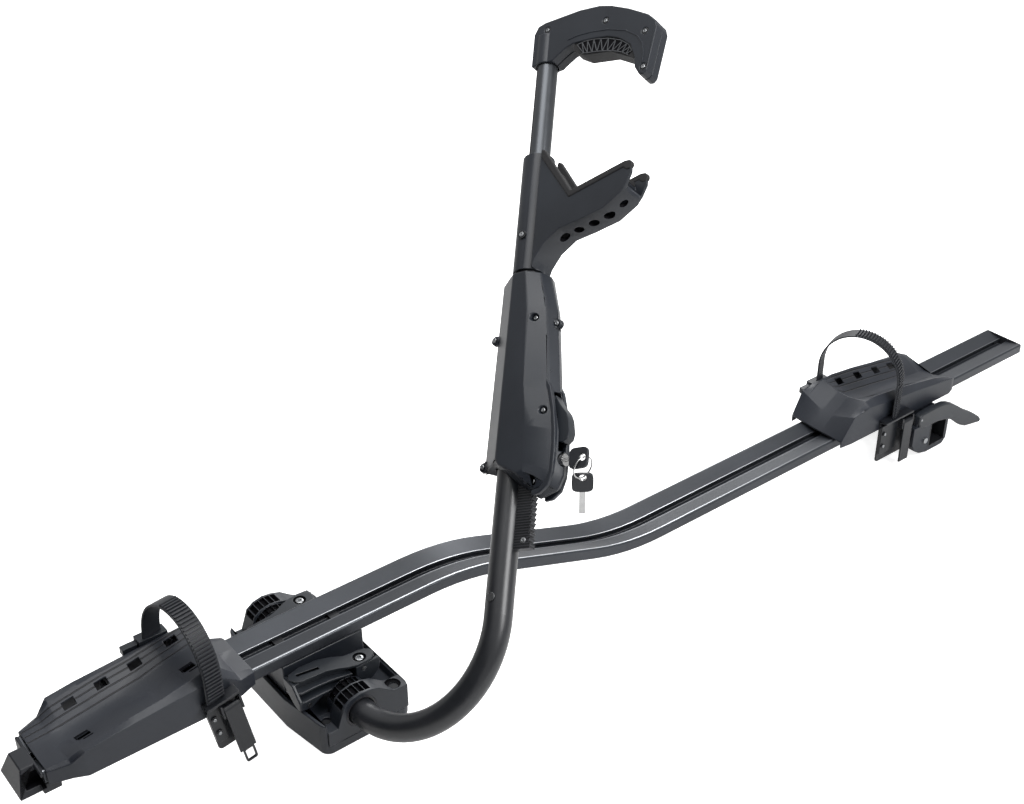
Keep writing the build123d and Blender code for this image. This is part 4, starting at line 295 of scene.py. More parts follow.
def softened(name, width, segments=2, angle=35):
    """A copy of a CAD node, with its sharp edges rounded as a mould rounds them."""
    piece = bpy.data.objects.new(name + "_shown", nodes[name].data.copy())
    bpy.context.scene.collection.objects.link(piece)
    pick(piece)
    bpy.ops.object.mode_set(mode="EDIT")
    bpy.ops.mesh.select_all(action="SELECT")
    bpy.ops.mesh.remove_doubles(threshold=0.00001)
    bpy.ops.mesh.customdata_custom_splitnormals_clear()
    bpy.ops.mesh.dissolve_limited(angle_limit=math.radians(1))
    bpy.ops.object.mode_set(mode="OBJECT")
    if width > 0:
        return round_edges(piece, width, segments, angle, clamp=False)
    even_shading(piece)
    return piece


def give(piece, material, body, slot, *replaced):
    """A piece gets its finish and its body, and stands for CAD nodes. Its slot is not used."""
    piece.data.materials.clear()
    piece.data.materials.append(material)
    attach(piece, body)
    if replaced:
        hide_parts(*replaced)


def settle(piece):
    """Puts a piece's place and turn into its mesh."""
    pick(piece)
    bpy.ops.object.transform_apply(location=True, rotation=True, scale=True)
    return piece


def box_at(middle, size, turn=(0, 0, 0)):
    """A plain box, to cut with."""
    bpy.ops.mesh.primitive_cube_add(size=1, location=middle, rotation=turn, scale=size)
    return bpy.context.view_layer.objects.active


def cut_with(piece, cutter, dark=False):
    """Cuts a shape out of a piece, with its walls marked for painted shade if asked, and takes the shape
    away.
    """
    if dark:
        for mesh in (piece.data, cutter.data):
            while len(mesh.materials) < 2:
                mesh.materials.append(None)
        for face in cutter.data.polygons:
            face.material_index = 1
    pick(piece)
    cut = piece.modifiers.new("cut", "BOOLEAN")
    cut.operation = "DIFFERENCE"
    cut.solver = "EXACT"
    cut.object = cutter
    bpy.ops.object.modifier_apply(modifier="cut")
    bpy.data.objects.remove(cutter, do_unlink=True)


# Near black with almost no reflection: painted shade for the walls of cut pockets, holes and slots, and for
# the hook lining's floor
painted_shade_black = moulded("painted_shade_black", (0.002, 0.002, 0.003), (0.004, 0.004, 0.005), 0.6, 900.0, 0.00005, 0.0)
painted_shade_black.node_tree.nodes["Principled BSDF"].inputs["Specular IOR Level"].default_value = 0.05


def give_painted_shade(piece, material, body, slot, *replaced):
    """Gives a piece its finish and paints its cut walls near black, as shade."""
    dark = [face.material_index for face in piece.data.polygons]
    give(piece, material, body, slot, *replaced)
    piece.data.materials.append(painted_shade_black)
    for face, index in zip(piece.data.polygons, dark):
        face.material_index = index


give(softened("rear_end_plate", 0.0004), cap_black, "carrier", "plastic_black", "rear_end_plate")
end_cap = softened("front_end_cap", 0)
cap_pocket_middle = (-0.2935, -0.0220, 0.0730)
cap_pocket_size = (0.0150, 0.0200, 0.0135)
cut_with(end_cap, settle(box_at(cap_pocket_middle, cap_pocket_size)), dark=True)
round_edges(end_cap, 0.0010)
give_painted_shade(end_cap, cap_black, "carrier", "plastic_black", "front_end_cap")

# The foot: a glass-filled polymer base with two bolted blocks that hold the arm's bush.
# The blocks have a lattice of sink pockets over the barrel and a round screw well, with their walls painted
# near black as shade. The pad under the foot is black rubber, glued in its pocket.
foot_charcoal = moulded("foot_charcoal", (0.009, 0.011, 0.015), (0.015, 0.018, 0.024), 0.40)
give(softened("foot_base", 0.0012, 3), foot_charcoal, "carrier", "plastic_black", "foot_base")
rubber = moulded("black_rubber", (0.009, 0.009, 0.010), (0.015, 0.015, 0.016), 0.72, 700.0, 0.0001, 0.1)
dress(rubber, "foot_pad")


def join_all(name, pieces):
    """Joins several meshes into one piece."""
    bpy.ops.object.select_all(action="DESELECT")
    for piece in pieces:
        piece.select_set(True)
    bpy.context.view_layer.objects.active = pieces[0]
    bpy.ops.object.join()
    whole = bpy.context.view_layer.objects.active
    whole.name = name
    return whole


barrel_height = 0.037
pocket_turns = (-58, -41, -24, -7, 10, 27)
# The y and the length of each row of pockets
pocket_rows = ((0.0705, 0.0092), (0.0845, 0.0132))
pocket_floor, pocket_depth, pocket_width = 0.0178, 0.014, 0.0054
well_x, well_y, well_z = 0.0425, 0.0845, 0.0445
well_radius, well_depth = 0.0078, 0.012
for side, node_name in ((-1, "near_arm_block"), (1, "far_arm_block")):
    pockets = []
    block = softened(node_name, 0)
    for row, span in pocket_rows:
        for turn in pocket_turns:
            angle = math.radians(turn)
            middle = pocket_floor + pocket_depth / 2
            spot = (middle * math.sin(angle), side * row, barrel_height + middle * math.cos(angle))
            pockets.append(box_at(spot, (pocket_width, span, pocket_depth), (0, angle, 0)))
    bpy.ops.mesh.primitive_cylinder_add(
        vertices=32, radius=well_radius, depth=well_depth, location=(well_x, side * well_y, well_z)
    )
    pockets.append(bpy.context.view_layer.objects.active)
    cut_with(block, settle(join_all("pockets", pockets)), dark=True)
    round_edges(block, 0.0005, clamp=False)
    give_painted_shade(block, foot_charcoal, "carrier", "plastic_black", node_name)

bush_black = moulded("bush_black", (0.012, 0.012, 0.014), (0.018, 0.018, 0.021), 0.35)
dress(bush_black, "arm_socket_bush", "far_socket_plug")

# The foot's hardware, as bought: zinc plated nuts and pins, and black oxide screws and bolts.
# They hold the blocks and the rail on the foot, and the foot on the crossbar.


def metal(name, low, high, rough, metallic, scales, bump, edge_wear_highlight=None):
    """A metal, plain or coated: two close tones, a fine grain and, if asked, pale edges, partly wear and
    partly painted highlight.

    rough gives the lowest and the highest roughness, scales the grain's and the cloud's, bump its depth,
    strength and edge radius, and the last argument the radius, strength and pale colour of those worn and
    highlit edges.
    """
    material, tree, shader = finish_material(name)
    grain = use_group(tree, surface_grain, Scale=scales[0], Cloud=scales[1])
    body = mix_colour(tree, grain.outputs["Tone"], low, high)
    if edge_wear_highlight:
        radius, strength, pale = edge_wear_highlight
        edges = use_group(tree, edge_wear_and_highlight, Radius=radius, Strength=strength)
        body = mix_colour(tree, edges.outputs["Mask"], body, pale)
    tree.links.new(body, shader.inputs["Base Color"])
    tree.links.new(map_range(tree, grain.outputs["Tone"], 0, 1, *rough), shader.inputs["Roughness"])
    tree.links.new(add_bump(tree, grain.outputs["Height"], *bump), shader.inputs["Normal"])
    shader.inputs["Metallic"].default_value = metallic
    return material


zinc = metal(
    "zinc_steel", (0.26, 0.27, 0.28), (0.38, 0.39, 0.40), (0.22, 0.36), 1,
    (2200.0, 60.0), (0.00003, 0.5, 0.0003),
)
oxide = metal(
    "black_oxide", (0.012, 0.013, 0.015), (0.022, 0.023, 0.026), (0.35, 0.5), 0.6,
    (1200.0, 40.0), (0.00004, 0.5, 0.0003), (0.0005, 0.5, (0.3, 0.3, 0.31)),
)
dress(zinc, "clamp_nuts", "lever_pins")
dress(oxide, "block_screws", "rail_bolts", "clamp_bolts")

# The clamp levers: moulded cam levers, each with a top plate and a curved grip in layers, made
# as prisms on what is left of the CAD lever. Each turns on a steel pin, and the clamp bolt's
# bright socket screw shows in the round end.
lever_black = moulded("lever_black", (0.009, 0.011, 0.014), (0.015, 0.018, 0.023), 0.36)


def socket_head(name, point, way, radius, height):
    """A button head screw with a hexagon socket, its head standing on the point."""
    way = Vector(way).normalized()
    turn = Vector((0, 0, 1)).rotation_difference(way).to_euler()
    middle = Vector(point) + way * (height / 2)
    bpy.ops.mesh.primitive_cylinder_add(
        vertices=24, radius=radius, depth=height, location=middle, rotation=turn
    )
    head = bpy.context.view_layer.objects.active
    head.name = name
    bpy.ops.object.mode_set(mode="EDIT")
    bpy.ops.mesh.select_all(action="DESELECT")
    bpy.ops.object.mode_set(mode="OBJECT")
    for face in head.data.polygons:
        face.select = face.normal.z > 0.9
    bpy.ops.object.mode_set(mode="EDIT")
    bpy.ops.mesh.bevel(offset=height * 0.45, segments=3)
    bpy.ops.object.mode_set(mode="OBJECT")
    settle(head)
    bpy.ops.mesh.primitive_cylinder_add(
        vertices=6,
        radius=radius * 0.48,
        depth=height,
        location=Vector(point) + way * (height * 0.95),
        rotation=turn,
    )
    cut_with(head, settle(bpy.context.view_layer.objects.active))
    bpy.ops.object.shade_smooth_by_angle(angle=math.radians(35))
    return head


def piece_from(name, form):
    """A piece whose mesh is the form's, with its faces turned outwards."""
    bmesh.ops.recalc_face_normals(form, faces=form.faces)
    mesh = bpy.data.meshes.new(name)
    form.to_mesh(mesh)
    form.free()
    piece = bpy.data.objects.new(name, mesh)
    bpy.context.scene.collection.objects.link(piece)
    return piece


def prism(name, corners, origin, x_way, y_way, depth_way, depth):
    """A flat outline in the plane of two directions, carried along a third."""
    origin, x_way, y_way, depth_way = (Vector(v) for v in (origin, x_way, y_way, depth_way))
    form = bmesh.new()
    low = [form.verts.new(origin + x_way * x + y_way * y) for x, y in corners]
    high = [form.verts.new(vert.co + depth_way * depth) for vert in low]
    form.faces.new(low)
    form.faces.new(high)
    for first in range(len(corners)):
        second = (first + 1) % len(corners)
        form.faces.new((low[first], low[second], high[second], high[first]))
    return piece_from(name, form)


# Outlines in x and in y away from the rail, the skin's in x and z, the wall's in y and z
top_line = (
    (-0.0300, 0.0318), (-0.0120, 0.0330), (0.0020, 0.0385), (0.0120, 0.0448), (0.0200, 0.0462),
    (0.0280, 0.0464), (0.0345, 0.0482), (0.0382, 0.0520), (0.0394, 0.0562), (0.0380, 0.0605),
    (0.0335, 0.0638), (0.0270, 0.0649), (0.0170, 0.0648), (0.0080, 0.0622), (-0.0020, 0.0570),
    (-0.0120, 0.0535), (-0.0260, 0.0522), (-0.0380, 0.0510), (-0.0450, 0.0470), (-0.0475, 0.0410),
    (-0.0440, 0.0350),
)
middle_line = (
    (-0.0475, 0.0330), (-0.0480, 0.0545), (-0.0430, 0.0578), (-0.0260, 0.0580), (-0.0100, 0.0596),
    (0.0040, 0.0628), (0.0110, 0.0640), (0.0100, 0.0540), (-0.0060, 0.0420), (-0.0300, 0.0330),
)
low_line = (
    (-0.0485, 0.0350), (-0.0485, 0.0600), (-0.0430, 0.0632), (-0.0260, 0.0630), (-0.0120, 0.0636),
    (0.0020, 0.0646), (0.0060, 0.0646), (0.0040, 0.0560), (-0.0140, 0.0440), (-0.0300, 0.0350),
)
core_line = (
    (-0.0470, 0.0345), (-0.0470, 0.0490), (-0.0300, 0.0500), (-0.0120, 0.0520), (0.0060, 0.0590),
    (0.0060, 0.0500), (-0.0080, 0.0400), (-0.0300, 0.0345),
)
skin_line = (
    (-0.0485, 0.0500), (-0.0480, 0.0425), (-0.0430, 0.0388), (-0.0350, 0.0392), (-0.0240, 0.0460),
    (-0.0140, 0.0500),
)
wall_line = (
    (0.0330, 0.0640), (0.0500, 0.0640), (0.0570, 0.0560), (0.0625, 0.0500), (0.0630, 0.0410),
    (0.0585, 0.0388), (0.0500, 0.0410), (0.0380, 0.0500), (0.0330, 0.0560),
)
# The underside, the thickness and the rounding of each layer of the grip
lever_layers = (
    ("_middle", middle_line, 0.0548, 0.0030, 0.0010),
    ("_low", low_line, 0.0474, 0.0030, 0.0010),
    ("_core", core_line, 0.0440, 0.0190, 0.0006),
)
# The middle and the size of each box that is cut off the CAD lever
grip_cut = ((-0.040, 0.048, 0.052), (0.080, 0.050, 0.050))
top_cut = ((0.0, 0.048, 0.0726), (0.120, 0.050, 0.020))
bolt_x, bolt_y = 0.024, 0.056
recess_radius, recess_depth, recess_z = 0.0066, 0.010, 0.0684
slot_x, slot_y, slot_z, slot_turn = -0.0270, 0.0430, 0.0640, 0.16
slot_size = (0.0230, 0.0036, 0.010)
top_z, top_thickness = 0.0630, 0.0029
skin_y, skin_thickness = 0.0590, 0.0035
wall_x, wall_thickness = -0.0488, 0.0040
forward, above = (1, 0, 0), (0, 0, 1)
for side, body, node_name in (
    (-1, "near_lever", "near_clamp_lever"),
    (1, "far_lever", "far_clamp_lever"),
):
    outward = (0, side, 0)
    lever = softened(node_name, 0)
    for (x, y, z), size in (grip_cut, top_cut):
        cut_with(lever, settle(box_at((x, side * y, z), size)))
    give(round_edges(lever, 0.0006), lever_black, body, "plastic_black", node_name)
    top_place = (0, 0, top_z)
    top = prism(node_name + "_top", top_line, top_place, forward, outward, above, top_thickness)
    # The bolt's recess and the slot in the top plate have walls painted near black as shade
    bpy.ops.mesh.primitive_cylinder_add(
        vertices=40,
        radius=recess_radius,
        depth=recess_depth,
        location=(bolt_x, side * bolt_y, recess_z),
    )
    cut_with(top, bpy.context.view_layer.objects.active, dark=True)
    slot = box_at((slot_x, side * slot_y, slot_z), slot_size, (0, 0, side * slot_turn))
    cut_with(top, settle(slot), dark=True)
    give_painted_shade(round_edges(top, 0.0011, 3), lever_black, body, "plastic_black")
    for part_name, line, low, thick, round_by in lever_layers:
        layer = prism(node_name + part_name, line, (0, 0, low), forward, outward, above, thick)
        give(round_edges(layer, round_by, 3), lever_black, body, "plastic_black")
    skin_place = (0, side * skin_y, 0)
    skin = prism(
        node_name + "_skin", skin_line, skin_place, forward, above, outward, skin_thickness
    )
    give(round_edges(skin, 0.0012, 3), lever_black, body, "plastic_black")
    wall_place = (wall_x, 0, 0)
    wall = prism(
        node_name + "_wall", wall_line, wall_place, outward, above, forward, wall_thickness
    )
    give(round_edges(wall, 0.0012, 3), lever_black, body, "plastic_black")
    bolt_place = (bolt_x, side * bolt_y, 0.0632)
    screw = socket_head(node_name + "_screw", bolt_place, above, 0.0046, 0.0022)
    give(screw, zinc, "carrier", "steel")
    rivet_place = (-0.0385, side * 0.0622, 0.0440)
    rivet = socket_head(node_name + "_rivet", rivet_place, outward, 0.0024, 0.0012)
    give(rivet, oxide, body, "dark_steel")

# The trays: thin moulded shells bolted on the rail. The far drain windows are open in the CAD solids. The
# grooves along the trough and the near windows and slits are painted in the finish: near-black painted
# shade over a sunk bump.
tray_charcoal = moulded("tray_charcoal", (0.011, 0.013, 0.018), (0.019, 0.022, 0.029), 0.42, 1400.0)
tree = tray_charcoal.node_tree
axes = object_axes(tree)
upward = facing_up(tree, 0.2, 0.5)
groove_ys = (0.0325, 0.0265, 0.0195, 0.0120)
# The middle and half length of each trough
trough_spans = ((-0.192, 0.092), (0.872, 0.070))
window_xs = (-0.242, -0.135, 0.841, 0.914)
# The shift in x, the y, the length and the width of a window and of the slit beside it
window_shapes = ((0, -0.0135, 0.0135, 0.0090), (0.003, -0.0222, 0.0100, 0.0028))
window_blur = 0.0003
# The grooves on the troughs' upturned faces are painted shade
grooves = largest(tree, [band(tree, axes["Y"], y, 0.0003, 0.0009) for y in groove_ys])
grooves = add_math(tree, "MULTIPLY", grooves, upward)
troughs = largest(tree, [band(tree, axes["X"], x, half - 0.001, half) for x, half in trough_spans])
grooves = add_math(tree, "MULTIPLY", grooves, troughs)
# The near windows and slits are painted shade: near black and without reflection
windows = []
for window_x in window_xs:
    for shift_x, window_y, long, wide in window_shapes:
        in_x = band(tree, axes["X"], window_x + shift_x, long / 2 - window_blur, long / 2)
        in_y = band(tree, axes["Y"], window_y, wide / 2 - window_blur, wide / 2)
        windows.append(add_math(tree, "MULTIPLY", in_x, in_y))
window_shade = add_math(tree, "MULTIPLY", largest(tree, windows), upward)
specular = tree.nodes["Principled BSDF"].inputs["Specular IOR Level"]
tree.links.new(map_range(tree, window_shade, 0, 1, 0.34, 0.02), specular)


def mark(material, mask, colour, share, depth, sunk=False):
    """Lays a pattern over a finish: a share of another colour, and a raised or sunk bump."""
    tree = material.node_tree
    base, normal = (tree.nodes["Principled BSDF"].inputs[name] for name in ("Base Color", "Normal"))
    shown = map_range(tree, mask, 0, 1, 0, share)
    tree.links.new(mix_colour(tree, shown, base.links[0].from_socket, colour), base)
    relief = tree.nodes.new("ShaderNodeBump")
    relief.invert = sunk
    relief.inputs["Distance"].default_value = depth
    tree.links.new(mask, relief.inputs["Height"])
    tree.links.new(normal.links[0].from_socket, relief.inputs["Normal"])
    tree.links.new(relief.outputs["Normal"], normal)


# Grooves and windows: near-black painted shade over a sunk bump
painted_lighting = add_math(tree, "MAXIMUM", grooves, window_shade)
mark(tray_charcoal, painted_lighting, (0.002, 0.002, 0.003), 0.9, 0.0006, sunk=True)
give(softened("front_tray", 0.0006), tray_charcoal, "carrier", "plastic_black", "front_tray")
give(softened("rear_tray", 0.0006), tray_charcoal, "rear_tray_unit", "plastic_black", "rear_tray")
dress(zinc, "front_tray_bolts", "rear_tray_bolts")

# The straps: moulded ladder straps of soft polymer, smooth on the far side and with ribs set on
# where the buckle's pawl grips them. The clip holds the far end on the tray's wall.
strap_black = moulded("strap_black", (0.009, 0.010, 0.013), (0.015, 0.017, 0.021), 0.5, 800.0)
rib_pitch, rib_half_length = 0.0038, 0.0088
# The lift above the strap's outside and the half width of a rib's foot and top
rib_levels = ((-0.0006, 0.0011), (0.0018, 0.0007))


def ladder_ribs(name, middle_x, twist, spring, half_span, rise, leg):
    """Cross ribs on a strap's near half, from the buckle to just past the top."""
    turn = math.radians(twist)
    along = Vector((-math.sin(turn), math.cos(turn), 0))
    wide = Vector((math.cos(turn), math.sin(turn), 0))
    reach = half_span / math.cos(turn)
    spots = [(-reach, -leg + rib_pitch * number, (-1, 0)) for number in range(int(leg / rib_pitch))]
    angle = 0
    while angle < math.radians(100):
        across, up = -reach * math.cos(angle), rise * math.sin(angle)
        spots.append((across, up, (across / reach**2, up / rise**2)))
        angle += rib_pitch / math.hypot(reach * math.sin(angle), rise * math.cos(angle))
    form = bmesh.new()
    for across, up, way in spots:
        middle = Vector((middle_x, 0, spring)) + along * across + Vector((0, 0, up))
        out = (along * way[0] + Vector((0, 0, way[1]))).normalized()
        step = out.cross(wide)
        points = []
        for lift, thin in rib_levels:
            for share_x, share_y in ((-1, -1), (1, -1), (1, 1), (-1, 1)):
                sideways = wide * (rib_half_length * share_x) + step * (thin * share_y)
                points.append(form.verts.new(middle + out * lift + sideways))
        for loop in ((0, 1, 2, 3), (4, 5, 6, 7), (0, 1, 5, 4), (1, 2, 6, 5), (2, 3, 7, 6), (3, 0, 4, 7)):
            form.faces.new([points[index] for index in loop])
    return piece_from(name, form)


# The place along the rail, the twist in degrees, the height and size of each strap's arch
strap_half_span = 0.050
for node_name, body, middle_x, twist, spring, rise, leg in (
    ("front_strap", "carrier", -0.133, 7.3, 0.112, 0.064, 0.016),
    ("rear_strap", "rear_tray_unit", 0.829, 21, 0.065, 0.056, 0.048),
):
    give(softened(node_name, 0.0004), strap_black, body, "strap_black", node_name)
    ribs = ladder_ribs(node_name + "_ribs", middle_x, twist, spring, strap_half_span, rise, leg)
    give(ribs, strap_black, body, "strap_black")
for node_name, body in (("front_strap_clip", "carrier"), ("rear_strap_clip", "rear_tray_unit")):
    give(softened(node_name, 0.0006), lever_black, body, "plastic_black", node_name)

# The buckles: black moulded frames, each riveted on its tray's near wall, with a hinged
# release lever. The two rivets' bright heads are set on the CAD rivets.
buckle_black = moulded("buckle_black", (0.007, 0.008, 0.010), (0.011, 0.012, 0.015), 0.34)
for node_name, body in (
    ("front_buckle", "carrier"),
    ("rear_buckle", "rear_tray_unit"),
    ("front_buckle_lever", "front_buckle_lever_body"),
    ("rear_buckle_lever", "rear_buckle_lever_body"),
):
    give(softened(node_name, 0.0005), buckle_black, body, "plastic_black", node_name)
dress(oxide, "front_buckle_rivets", "rear_buckle_rivets")


def loose_parts(name):
    """The places of the corners of each separate part in a CAD node."""
    form = bmesh.new()
    form.from_mesh(nodes[name].data)
    bmesh.ops.remove_doubles(form, verts=form.verts, dist=0.00001)
    left = set(form.verts)
    parts = []
    while left:
        reached = [left.pop()]
        places = []
        while reached:
            vert = reached.pop()
            places.append(vert.co.copy())
            for link in vert.link_edges:
                other = link.other_vert(vert)
                if other in left:
                    left.remove(other)
                    reached.append(other)
        parts.append(places)
    form.free()
    return parts


def bright_heads(name, way, radius, height, body, count):
    """Small bright heads on the first parts of a node, at their ends along a direction."""
    way = Vector(way).normalized()
    spots = []
    for places in loose_parts(name):
        middle = sum(places, Vector()) / len(places)
        top = max(place.dot(way) for place in places)
        spots.append(middle + way * (top - middle.dot(way)))
    spots.sort(key=lambda spot: spot.x)
    for number, spot in enumerate(spots[:count]):
        head = socket_head(name + "_head_" + str(number), spot - way * 0.0003, way, radius, height)
        give(head, zinc, body, "steel")


bright_heads("front_buckle_rivets", (0, -1, 0), 0.0017, 0.0012, "carrier", 2)
bright_heads("rear_buckle_rivets", (0, -1, 0), 0.0019, 0.0012, "rear_tray_unit", 2)

# The rear clamp: a moulded saddle and plates round the rear crossbar, with a black steel band.
# Its lever is a curved grip, made as a prism in place of the CAD lever.
give(softened("rear_clamp_body", 0.0008), foot_charcoal, "rear_clamp", "plastic_black", "rear_clamp_body")
rear_line = (
    (0.8868, -0.0080), (0.8872, 0.0005), (0.8930, 0.0040), (0.9090, 0.0046), (0.9250, 0.0046),
    (0.9400, 0.0032), (0.9500, -0.0004), (0.9600, -0.0056), (0.9720, -0.0140), (0.9850, -0.0238),
    (1.0080, -0.0380), (1.0240, -0.0500), (1.0290, -0.0560), (1.0270, -0.0600), (1.0129, -0.0570),
    (0.9940, -0.0535), (0.9814, -0.0470), (0.9665, -0.0345), (0.9560, -0.0278), (0.9438, -0.0236),
    (0.9233, -0.0191), (0.9071, -0.0187), (0.8968, -0.0180), (0.8900, -0.0145),
)
rear_grip = prism(
    "rear_clamp_lever_shown", rear_line, (0, -0.0508, 0), (1, 0, 0), (0, 0, 1), (0, -1, 0), 0.0101
)
give(round_edges(rear_grip, 0.0020, 4), lever_black, "rear_lever", "plastic_black", "rear_clamp_lever")
dress(zinc, "rear_clamp_bolt", "rear_clamp_pin")
dress(oxide, "rear_clamp_band")

# The arm tube: steel tube, bent cold and powder coated in black. The retainer in its lower
# end is polymer, and a rivet stops the slider.
powder = metal(
    "powder_coat", (0.009, 0.010, 0.012), (0.014, 0.015, 0.018), (0.28, 0.38), 0,
    (650.0, 20.0), (0.00008, 0.35, 0.0004), (0.0006, 0.3, (0.2, 0.2, 0.21)),
)
dress(powder, "arm_tube")
dress(bush_black, "arm_retainer")
dress(zinc, "tube_rivet")

# The toothed rack: a black oxide steel bar, held on the tube by two screws. Its teeth are in
# the CAD solid, and their ends on the side are drawn in the finish.

# The arm's own directions: reach_way goes from the tube to the hook's tip,
# tube_way up the tube and side_way to the near side
reach_way = Vector((0.3742, -0.8290, 0.4156))
tube_way = Vector((0.5547, 0.5592, 0.6161))
side_way = Vector((-0.7431, 0.0, 0.6691))
arm_foot = Vector((0.10433, -0.17690, 0.15287))
teeth_per_metre = 380.0
dress(oxide, "rack_screws")
bright_heads("rack_screws", side_way, 0.0028, 0.0010, "arm", 2)
rack_steel = oxide.copy()
rack_steel.name = "rack_steel"
tree = rack_steel.node_tree
place = tree.nodes.new("ShaderNodeTexCoord")
height = tree.nodes.new("ShaderNodeVectorMath")
height.operation = "DOT_PRODUCT"
height.inputs[1].default_value = tube_way
tree.links.new(place.outputs["Object"], height.inputs[0])
teeth = add_math(tree, "MULTIPLY", height.outputs["Value"], teeth_per_metre)
teeth = add_math(tree, "FRACT", teeth, 0)
mark(rack_steel, map_range(tree, teeth, 0.45, 0.60, 0, 1), (0.045, 0.047, 0.052), 1, 0.0006)
dress(rack_steel, "toothed_rack")

# The jaw: a moulded collar with two side plates, rubber rims and a lined floor. A row of five holes is cut
# through it along the tube's direction, with walls painted near black as shade.
give(softened("jaw_pad", 0.0005), rubber, "arm", "rubber_black", "jaw_pad")
jaw = softened("jaw_body", 0.0008)
# The reach, the place along the tube and the radius of each hole
shapes = []
for out, along, radius in (
    (0.0412, 0.3824, 0.0050), (0.0575, 0.3863, 0.0052), (0.0750, 0.3902, 0.0054), (0.0925, 0.3942, 0.0056),
    (0.1085, 0.4060, 0.0042),
):
    bpy.ops.mesh.primitive_cylinder_add(
        vertices=32,
        radius=radius,
        depth=0.014,
        location=arm_foot + reach_way * out + tube_way * along,
        rotation=Vector((0, 0, 1)).rotation_difference(tube_way).to_euler(),
    )
    shapes.append(bpy.context.view_layer.objects.active)
cut_with(jaw, settle(join_all("band_holes", shapes)), dark=True)
give_painted_shade(jaw, foot_charcoal, "arm", "plastic_black", "jaw_body")
rim_line = (
    (0.0150, 0.4790), (0.0195, 0.4765), (0.0550, 0.4225), (0.1170, 0.4388), (0.1230, 0.4385),
    (0.1262, 0.4355), (0.1262, 0.4320), (0.1240, 0.4288), (0.1205, 0.4282), (0.1175, 0.4300),
    (0.1160, 0.4318), (0.0530, 0.4148), (0.0150, 0.4690),
)
rim_thickness = 0.0054
for name, low in (("jaw_rim_near", 0.0118), ("jaw_rim_far", -0.0172)):
    rim = prism(name, rim_line, arm_foot + side_way * low, reach_way, tube_way, side_way, rim_thickness)
    give(round_edges(rim, 0.0014, 3), rubber, "arm", "rubber_black")
dress(oxide, "jaw_screw")
bright_heads("jaw_screw", side_way, 0.0026, 0.0010, "arm", 9)

# The inner tube: drawn aluminium, anodised grey black. It slides in the arm tube and carries the hook, and
# its side away from the hook is painted shade: near black, matte and without reflection.
sleeve = metal(
    "anodised_sleeve", (0.050, 0.054, 0.060), (0.072, 0.077, 0.084), (0.30, 0.40), 0.7,
    (1500.0, 12.0), (0.00002, 0.4, 0.0003),
)
tree = sleeve.node_tree
shader = tree.nodes["Principled BSDF"]
# Painted shade on the side that faces away from the hook
surface = tree.nodes.new("ShaderNodeNewGeometry")
outward = tree.nodes.new("ShaderNodeVectorMath")
outward.operation = "DOT_PRODUCT"
outward.inputs[1].default_value = -reach_way
tree.links.new(surface.outputs["Normal"], outward.inputs[0])
shaded = map_range(tree, outward.outputs["Value"], 0.30, 0.42, 0, 1)
body_tone = shader.inputs["Base Color"].links[0].from_socket
tree.links.new(mix_colour(tree, shaded, body_tone, (0.006, 0.006, 0.008)), shader.inputs["Base Color"])
tree.links.new(map_range(tree, shaded, 0, 1, 0.7, 0.0), shader.inputs["Metallic"])
tree.links.new(map_range(tree, shaded, 0, 1, 0.5, 0.1), shader.inputs["Specular IOR Level"])
dress(sleeve, "inner_tube")

# The hook: two moulded halves screwed together over the inner tube, lined with rubber.
# The lining's floor, a near-black sheet of painted shade, its grey struts and the crease along the back are
# laid on its near side.
# Its outlines are in reach and in the place along the tube.
for node_name in ("hook_near", "hook_far"):
    give(softened(node_name, 0.0012, 3), foot_charcoal, "slider", "plastic_black", node_name)
give(softened("hook_pad", 0.0004), rubber, "slider", "rubber_black", "hook_pad")
lining_top = (
    (0.0436, 0.5980), (0.0536, 0.5995), (0.0670, 0.5975), (0.0826, 0.5932), (0.0980, 0.5860),
    (0.1078, 0.5778), (0.1122, 0.5690),
)
lining_low = (
    (0.0500, 0.5858), (0.0580, 0.5840), (0.0680, 0.5822), (0.0790, 0.5795), (0.0890, 0.5765),
    (0.0993, 0.5716), (0.1080, 0.5655),
)
lining_floor, lining_struts, crease_level = 0.0090, 0.0093, 0.0105
# The lining's floor: a thin near-black sheet of painted shade behind the struts
panel = prism(
    "hook_lining_floor", lining_top + lining_low[::-1], arm_foot + side_way * lining_floor,
    reach_way, tube_way, side_way, 0.0003,
)
give(panel, painted_shade_black, "slider", "rubber_black")


def point_on(line, share):
    """The point a share of the way along a line of corners."""
    place = share * (len(line) - 1)
    first = min(int(place), len(line) - 2)
    rest = place - first
    return tuple(a + (b - a) * rest for a, b in zip(line[first], line[first + 1]))


struts = []
bends = 20
strut_half_width, strut_thickness = 0.00045, 0.0007
knots = [point_on((lining_top, lining_low)[number % 2], number / bends) for number in range(bends + 1)]
strut_lines = [pair for line in (knots, lining_top, lining_low) for pair in zip(line, line[1:])]
for (out_1, along_1), (out_2, along_2) in strut_lines:
    way = Vector((out_2 - out_1, along_2 - along_1)).normalized() * strut_half_width
    corners = (
        (out_1 - way.y, along_1 + way.x), (out_1 + way.y, along_1 - way.x),
        (out_2 + way.y, along_2 - way.x), (out_2 - way.y, along_2 + way.x),
    )
    place = arm_foot + side_way * lining_struts
    struts.append(prism("strut", corners, place, reach_way, tube_way, side_way, strut_thickness))
lining_grey = moulded("lining_grey", (0.040, 0.042, 0.046), (0.055, 0.058, 0.063), 0.6, 900.0, 0.00005, 0.1)
give(join_all("hook_lining_struts", struts), lining_grey, "slider", "rubber_black")
crease = (
    (0.0307, 0.6075), (0.0442, 0.6090), (0.0621, 0.6078), (0.0822, 0.6040), (0.1043, 0.5955),
    (0.1190, 0.5842), (0.1262, 0.5720), (0.1278, 0.5586), (0.1268, 0.5500),
)
